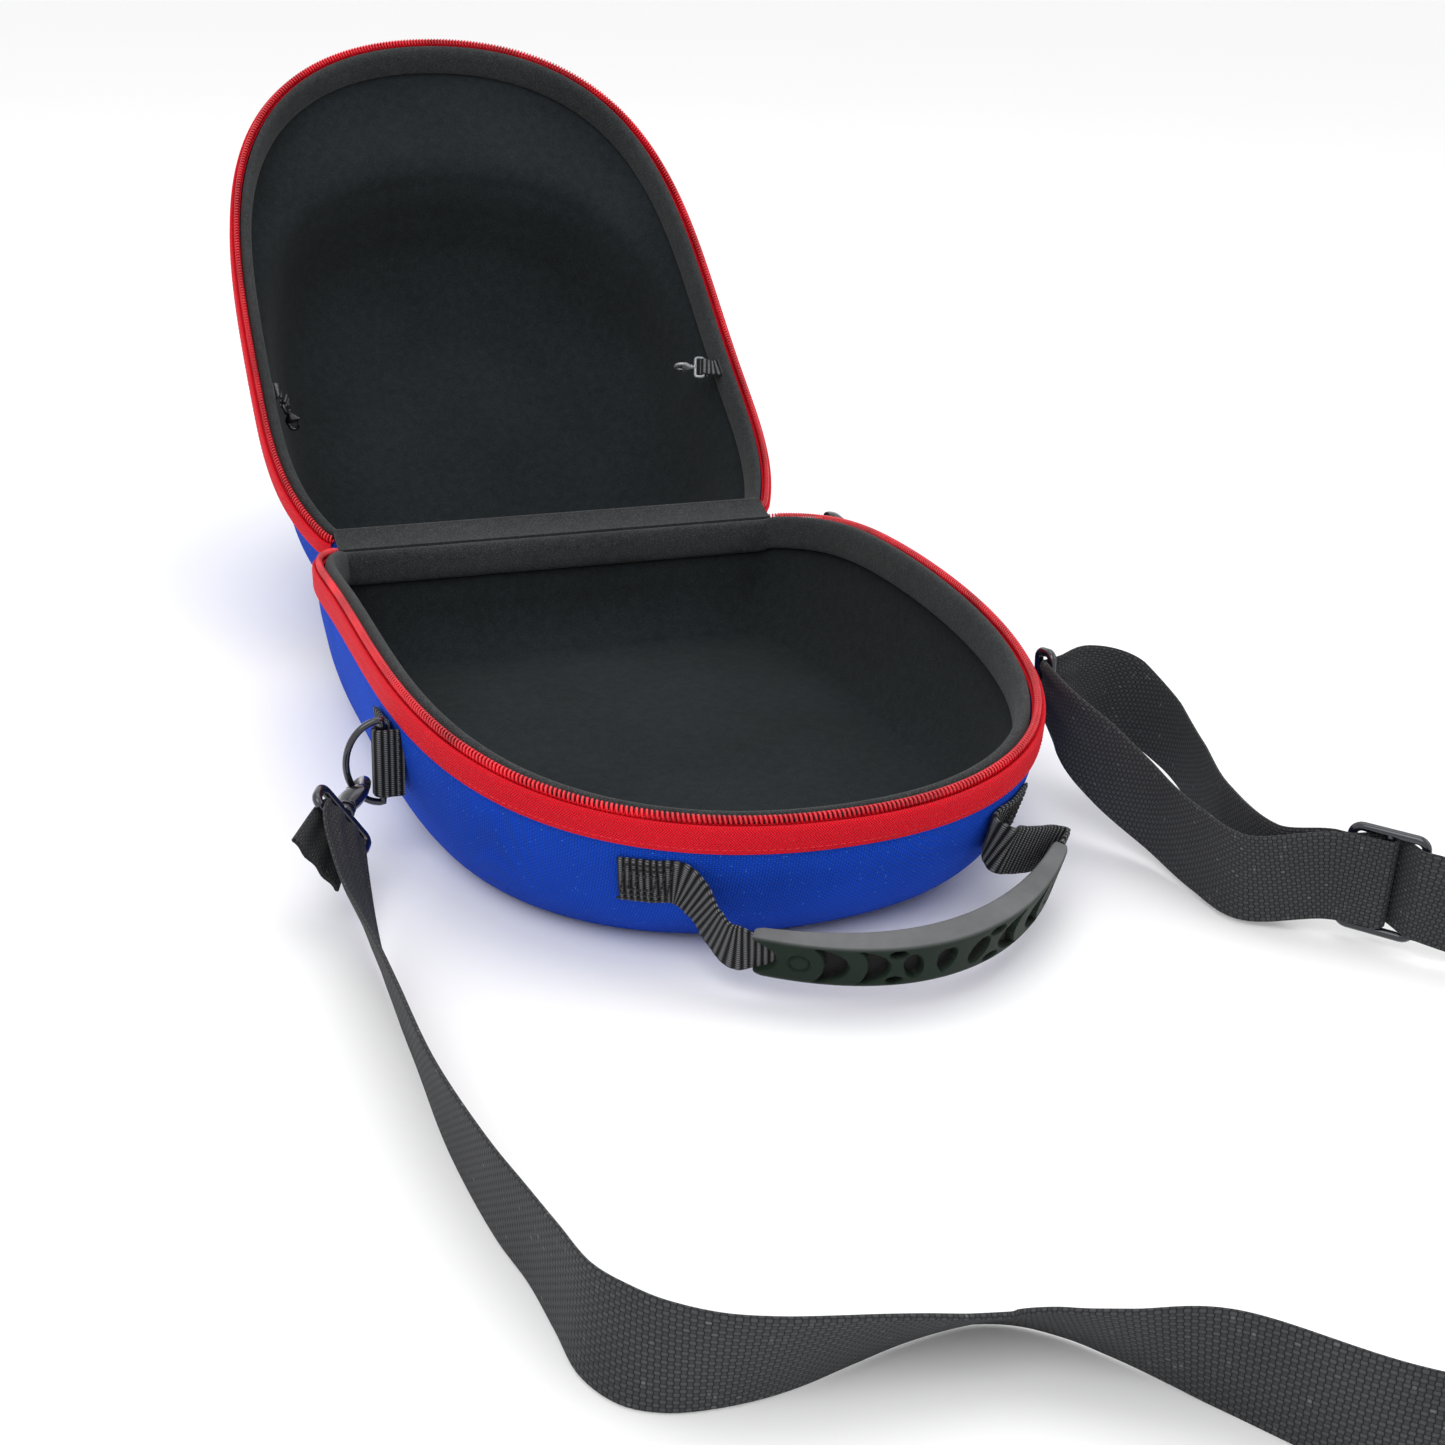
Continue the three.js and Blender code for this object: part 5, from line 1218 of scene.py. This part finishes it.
# Handle webs from their patches on the wall to the grip: middle, way across
HANDLE_WEBS = {
    "left": ((-62.6, -124.0, 31, 0, -0.34, 0.94), (-54.0, -129.0, 31, 0, -0.34, 0.94),
             (-46.4, -132.7, 31, 0, -0.32, 0.95), (-42.6, -137.6, 27.6, -0.05, -0.2, 0.98),
             (-40.0, -144.0, 22.0, -0.1, -0.18, 0.97), (-36.8, -149.9, 18.4, -0.13, -0.19, 0.97),
             (-31.0, -154.0, 18.0, -0.137, -0.191, 0.972),
             (-25.3, -157.8, 18.0, -0.137, -0.191, 0.972)),
    "right": ((77.7, -111.0, 31, 0, -0.39, 0.92), (69.0, -119.4, 31, 0, -0.38, 0.92),
              (61.3, -124.9, 31, 0, -0.36, 0.93), (58.2, -129.2, 30.0, 0, -0.2, 0.98),
              (60.8, -132.4, 27.9, 0, -0.15, 0.98), (67.0, -130.2, 25.2, 0.05, -0.15, 0.98),
              (75.6, -126.0, 22.2, 0.1, -0.15, 0.98), (84.0, -121.6, 19.4, 0.15, -0.15, 0.97),
              (88.2, -121.9, 18.2, 0.179, -0.152, 0.972),
              (83.0, -128.0, 18.0, 0.179, -0.152, 0.972),
              (77.3, -134.4, 18.0, 0.179, -0.152, 0.972)),
}
# The webs' widths by their run before the grip, and the box stitch on their patches
WEB_TAPER = ((0, 6.5, 11), (12.4, 12.8, 17.2))
WEB_STITCH = dict(start=1.4, length=14.0, half=7.2, turns=3, pitch=2.1)
WEB_STITCH_LIFT = 1.0

# The grip: half its length and height, its lean, and how deep its hollows and sockets are
GRIP_LENGTH = 60.0
GRIP_TALL = 7.5
GRIP_LEAN = math.radians(13.6)
GRIP_HOLLOW_DEPTH = 2.4
GRIP_SOCKET_DEPTH = 2.5
GRIP_SOCKET = (64.0, 0, 10.0, 6.2)


def grip_frame(share):
    """The grip's middle line and its ways at a share of its half span."""
    none = 0 * share
    ahead = np.stack([57 + none, 54 * share + 13, none], -1)
    ahead /= np.linalg.norm(ahead, axis=-1, keepdims=True)
    place = np.stack([26 + 57 * share, -141 - 27 * (1 - share ** 2) + 13 * share, 18 + none], -1)
    side, up = np.stack([ahead[..., 1], -ahead[..., 0], none], -1), np.array((0, 0, 1.0))
    c, s = math.cos(GRIP_LEAN), math.sin(GRIP_LEAN)
    return place, side * c - up * s, side * s + up * c


def inside_oval(x, y, cx, cy, rx, ry, tilt=0.0):
    """One inside an oval, none outside, with a soft edge."""
    c, s = math.cos(tilt), math.sin(tilt)
    px, py = (x - cx) * c + (y - cy) * s, (y - cy) * c - (x - cx) * s
    return np.clip((1 - np.hypot(px / rx, py / ry)) * min(rx, ry) / 0.5 + 0.5, 0, 1)


def grip_hollows(x, y):
    """Depth, from 0 to 1, of the openings in the grip's outer face."""
    x = np.where(x > -6, -6 - (x + 6) / 1.2, x)
    hollow = np.clip(1 - np.abs(np.hypot(x + 48, y) - 2.7) / 0.6, 0, 1) * 0.3
    for start, wide, inner, tall in ((-46.0, 11.0, 4.8, 6.4), (-33.0, 9.6, 3.6, 6.0)):
        moon = np.minimum(inside_oval(x, y, start, 0, wide, tall),
                          1 - inside_oval(x, y, start, 0, inner, tall + 0.5))
        hollow = np.maximum(hollow, moon * np.clip((x - start) / 0.5, 0, 1))
    for oval in ((-16.2, 0, 2.7, 4.4, 0.3), (-6.0, 0, 2.5, 4.4, 0.3), (-21.4, 4.9, 2.3, 1.2),
                 (-21.4, -4.9, 2.3, 1.2)):
        hollow = np.maximum(hollow, inside_oval(x, y, *oval))
    return hollow


class CASE_OT_handle(bpy.types.Operator):
    """Moulded grip and the ribbed webs that hold it"""
    bl_idname = "case.handle"
    bl_label = "Handle"

    def execute(self, context):
        self.grip()
        for name, table in HANDLE_WEBS.items():
            route = smooth_route(table, 0.4)
            route[:, 3:] = unit(route[:, 3:])
            run = runs(route[:, :3])
            width = np.interp(run[-1] - run, *WEB_TAPER)
            piece = band_mesh(f"handle_web_{name}", route, width, ribs(route, 0.9, 1.8),
                              MATERIALS["web"])
            done(piece, "root", "black_webbing", f"handle_tab_{name}")
            lift = WEB_STITCH_LIFT if name == "left" else -WEB_STITCH_LIFT
            line = line_on_band(route, box_spiral(**WEB_STITCH), lift)
            stitches(f"handle_stitches_{name}", [line], "root", pitch=2.0, length=1.7, thread=0.9)
        return {"FINISHED"}

    def profile(self):
        """The grip's section: aside, up, and how far it belongs to the outer face."""
        points = [(1.0, t, 1.0) for t in np.linspace(-0.8, 0.8, 45)]
        flats = ([(t, 1.0) for t in np.linspace(0.72, -0.72, 9)],
                 [(-1.0, t) for t in np.linspace(0.8, -0.8, 9)],
                 [(t, -1.0) for t in np.linspace(-0.72, 0.72, 9)], [])
        for (sx, sy), start, flat in zip(((1, 1), (-1, 1), (-1, -1), (1, -1)),
                                         (0, 90, 180, 270), flats):
            for a in np.radians(start + 15 * np.arange(1, 6)):
                face = max(0.0, math.cos(a) * 1.5 - 0.5) if sx > 0 else 0.0
                points.append((sx * 0.72 + 0.28 * math.cos(a), sy * 0.8 + 0.2 * math.sin(a), face))
            points += [place + (0.0,) for place in flat]
        return points

    def grip(self):
        share = np.linspace(-1, 1, 330)
        place, out, up = grip_frame(share)
        end = np.sqrt(np.clip((1 - np.abs(share)) * GRIP_LENGTH / 2.2, 0, 1))
        half = (9 - 4 * share ** 2) / 2 * (0.72 + 0.28 * end)
        tall = GRIP_TALL * (0.9 + 0.1 * end)
        x = share * GRIP_LENGTH
        grid, faces, hollows = [], [], []
        for a, b, face in self.profile():
            y = b * tall
            front = a == 1.0
            deep = grip_hollows(x, y) * front
            socket = inside_oval(np.abs(x), y, *GRIP_SOCKET) * front
            aside = a * half - deep * GRIP_HOLLOW_DEPTH - socket * GRIP_SOCKET_DEPTH
            grid.append(place + out * aside[:, None] + up * y[:, None])
            faces.append(np.full(len(x), face))
            # The deeper hollows are kept as the mask for their painted shade.
            hollows.append(np.where(deep > 0.35, deep, 0.0))
        piece = grid_mesh("grip_rubber", np.stack(grid) * MM, MATERIALS["grip"], **OPEN_WIRE)
        for label, values in ((GRIP_FACE, faces), (GRIP_RECESS_SHADE, hollows)):
            layer = piece.data.attributes.new(label, "FLOAT", "POINT")
            layer.data.foreach_set("value", np.stack(values).ravel().astype(np.float32))
        done(piece, "root", "grey_grip", "handle_grip")


# Where the lid's webs start, their loops round the eyes, and each clip's finish and hang
LID_TAB = (106.4, -94.0, 19.2)
LID_TAB_WIDTH = 8.6
LID_LOOP = 1.25
LID_CLIP_SCALE = 0.46
LID_CLIPS = (("left", -1, "clip", (0.35, 0.6, 0.72)),
             ("right", 1, "pale_clip", (-0.93, -0.25, 0.2)))


class CASE_OT_lid_tabs(bpy.types.Operator):
    """Short webs inside the lid and the small hooks that hang on them"""
    bl_idname = "case.lid_tabs"
    bl_label = "Lid tabs"

    def execute(self, context):
        for name, side, finish, hang in LID_CLIPS:
            start = np.array(LID_TAB) * (side, 1, 1)
            hang = unit(np.array(hang))
            across = unit(np.array((0, 1.0, 0)) - hang * hang[1])
            through = np.cross(hang, across)
            stiff = np.array((-side * 2.5, 0.0, 0.3))
            eye = start + stiff * 1.6 + hang * 5.2
            rows = [(start, (0, 1, 0)), (start + stiff * 0.8, (0, 1, 0)),
                    (start + stiff * 1.6, (0, 1, -0.1))]
            for a in np.radians((90, 50, 10, -30, -70, -100)):
                rows.append((eye + (through * math.sin(a) + hang * math.cos(a)) * LID_LOOP, across))
            rows.append((eye - through * 1.0 - hang * 2.4, across))
            route = smooth_route([(*place, *way) for place, way in rows], 0.35)
            web = band_mesh(f"lid_web_{name}", route, LID_TAB_WIDTH, ribs(route, 0.7, 1.0),
                            MATERIALS["web"], lid=True)
            done(web, "lid", "black_webbing", f"lid_tab_{name}")
            clip = snap_hook(f"lid_hook_{name}", eye + hang * 24.5 * LID_CLIP_SCALE, -hang, across,
                             MATERIALS[finish], LID_CLIP_SCALE, lid=True)
            done(clip, "lid", "black_metal", f"lid_clip_{name}")
        return {"FINISHED"}


# The photo's camera: its place, its axes, its focal length in pixels and the photo's width
CAMERA_PLACE = (-0.2269, -0.5962, 0.2920)
CAMERA_TURN = ((0.9507, -0.3095, 0.0179), (0.1014, 0.3649, 0.9255), (-0.2930, -0.8781, 0.3783))
CAMERA_FOCUS = 1900
PHOTO_WIDTH = 1445
CAMERA_SHIFT = (0.0848, -0.0156)
SENSOR = 36
FLOOR_SIZE = 30.0
FLOOR_GREY = 0.94
LAMP_AIM = (0, 0, 0.05)
LAMPS = (("key", (-0.9, -1.1, 1.6), 1.4, 13), ("fill", (1.3, -0.7, 1.1), 1.2, 3),
         ("top", (0.2, 0.3, 1.9), 1.6, 7))


class CASE_OT_stage(bpy.types.Operator):
    """Floor, lights and camera"""
    bl_idname = "case.stage"
    bl_label = "Stage"

    def execute(self, context):
        scene = context.scene
        scene.view_settings.view_transform = "Standard"
        mesh = bpy.data.meshes.new("floor")
        corners = [(x * FLOOR_SIZE, y * FLOOR_SIZE, 0)
                   for x, y in ((-1, -1), (1, -1), (1, 1), (-1, 1))]
        mesh.from_pydata(corners, [], [(0, 1, 2, 3)])
        grey = (FLOOR_GREY, FLOOR_GREY, FLOOR_GREY, 1)
        mesh.materials.append(Finish("pale_floor", 0.9, Base_Color=grey).material)
        in_scene("floor", mesh)
        world = bpy.data.worlds.new("soft_room")
        world.use_nodes = True
        background = world.node_tree.nodes["Background"]
        background.inputs[0].default_value = (1, 1, 1, 1)
        background.inputs[1].default_value = 1.0
        scene.world = world
        for name, place, size, power in LAMPS:
            light = bpy.data.lights.new(name, "AREA")
            light.shape = "DISK"
            light.size = size
            light.energy = power
            lamp = in_scene(name, light)
            lamp.location = place
            aim = Vector(LAMP_AIM) - Vector(place)
            lamp.rotation_euler = aim.to_track_quat("-Z", "Y").to_euler()
        self.camera(scene)
        return {"FINISHED"}

    def camera(self, scene):
        data = bpy.data.cameras.new("photo_view")
        data.sensor_width = SENSOR
        data.sensor_fit = "HORIZONTAL"
        data.lens = CAMERA_FOCUS / PHOTO_WIDTH * SENSOR
        data.shift_x, data.shift_y = CAMERA_SHIFT
        data.clip_start = 0.01
        camera = in_scene("photo_view", data)
        turn = Matrix(CAMERA_TURN).transposed().to_4x4()
        camera.matrix_world = Matrix.Translation(CAMERA_PLACE) @ turn
        scene.camera = camera


class CASE_PT_panel(bpy.types.Panel):
    """Lists the steps that dress the case"""
    bl_idname = "CASE_PT_panel"
    bl_label = "Carrier Case"
    bl_space_type = "VIEW_3D"
    bl_region_type = "UI"
    bl_category = "Carrier Case"

    def draw(self, context):
        looks = context.scene.case_looks
        for name in ("shell_blue", "zip_red", "coil_pitch"):
            self.layout.prop(looks, name)
        for operator in OPERATORS:
            self.layout.operator(operator.bl_idname)


OPERATORS = (
    CASE_OT_shells, CASE_OT_linings, CASE_OT_bindings, CASE_OT_zip, CASE_OT_hinge,
    CASE_OT_side_loops, CASE_OT_hooks, CASE_OT_strap, CASE_OT_handle, CASE_OT_lid_tabs,
    CASE_OT_stage,
)
CLASSES = (CaseLooks,) + OPERATORS + (CASE_PT_panel,)


def register():
    for cls in CLASSES:
        bpy.utils.register_class(cls)
    bpy.types.Scene.case_looks = bpy.props.PointerProperty(type=CaseLooks)


def unregister():
    del bpy.types.Scene.case_looks
    for cls in reversed(CLASSES):
        bpy.utils.unregister_class(cls)


def main():
    register()
    make_materials(bpy.context.scene.case_looks)
    for operator in OPERATORS:
        category, name = operator.bl_idname.split(".")
        getattr(getattr(bpy.ops, category), name)()


if __name__ == "__main__":
    main()
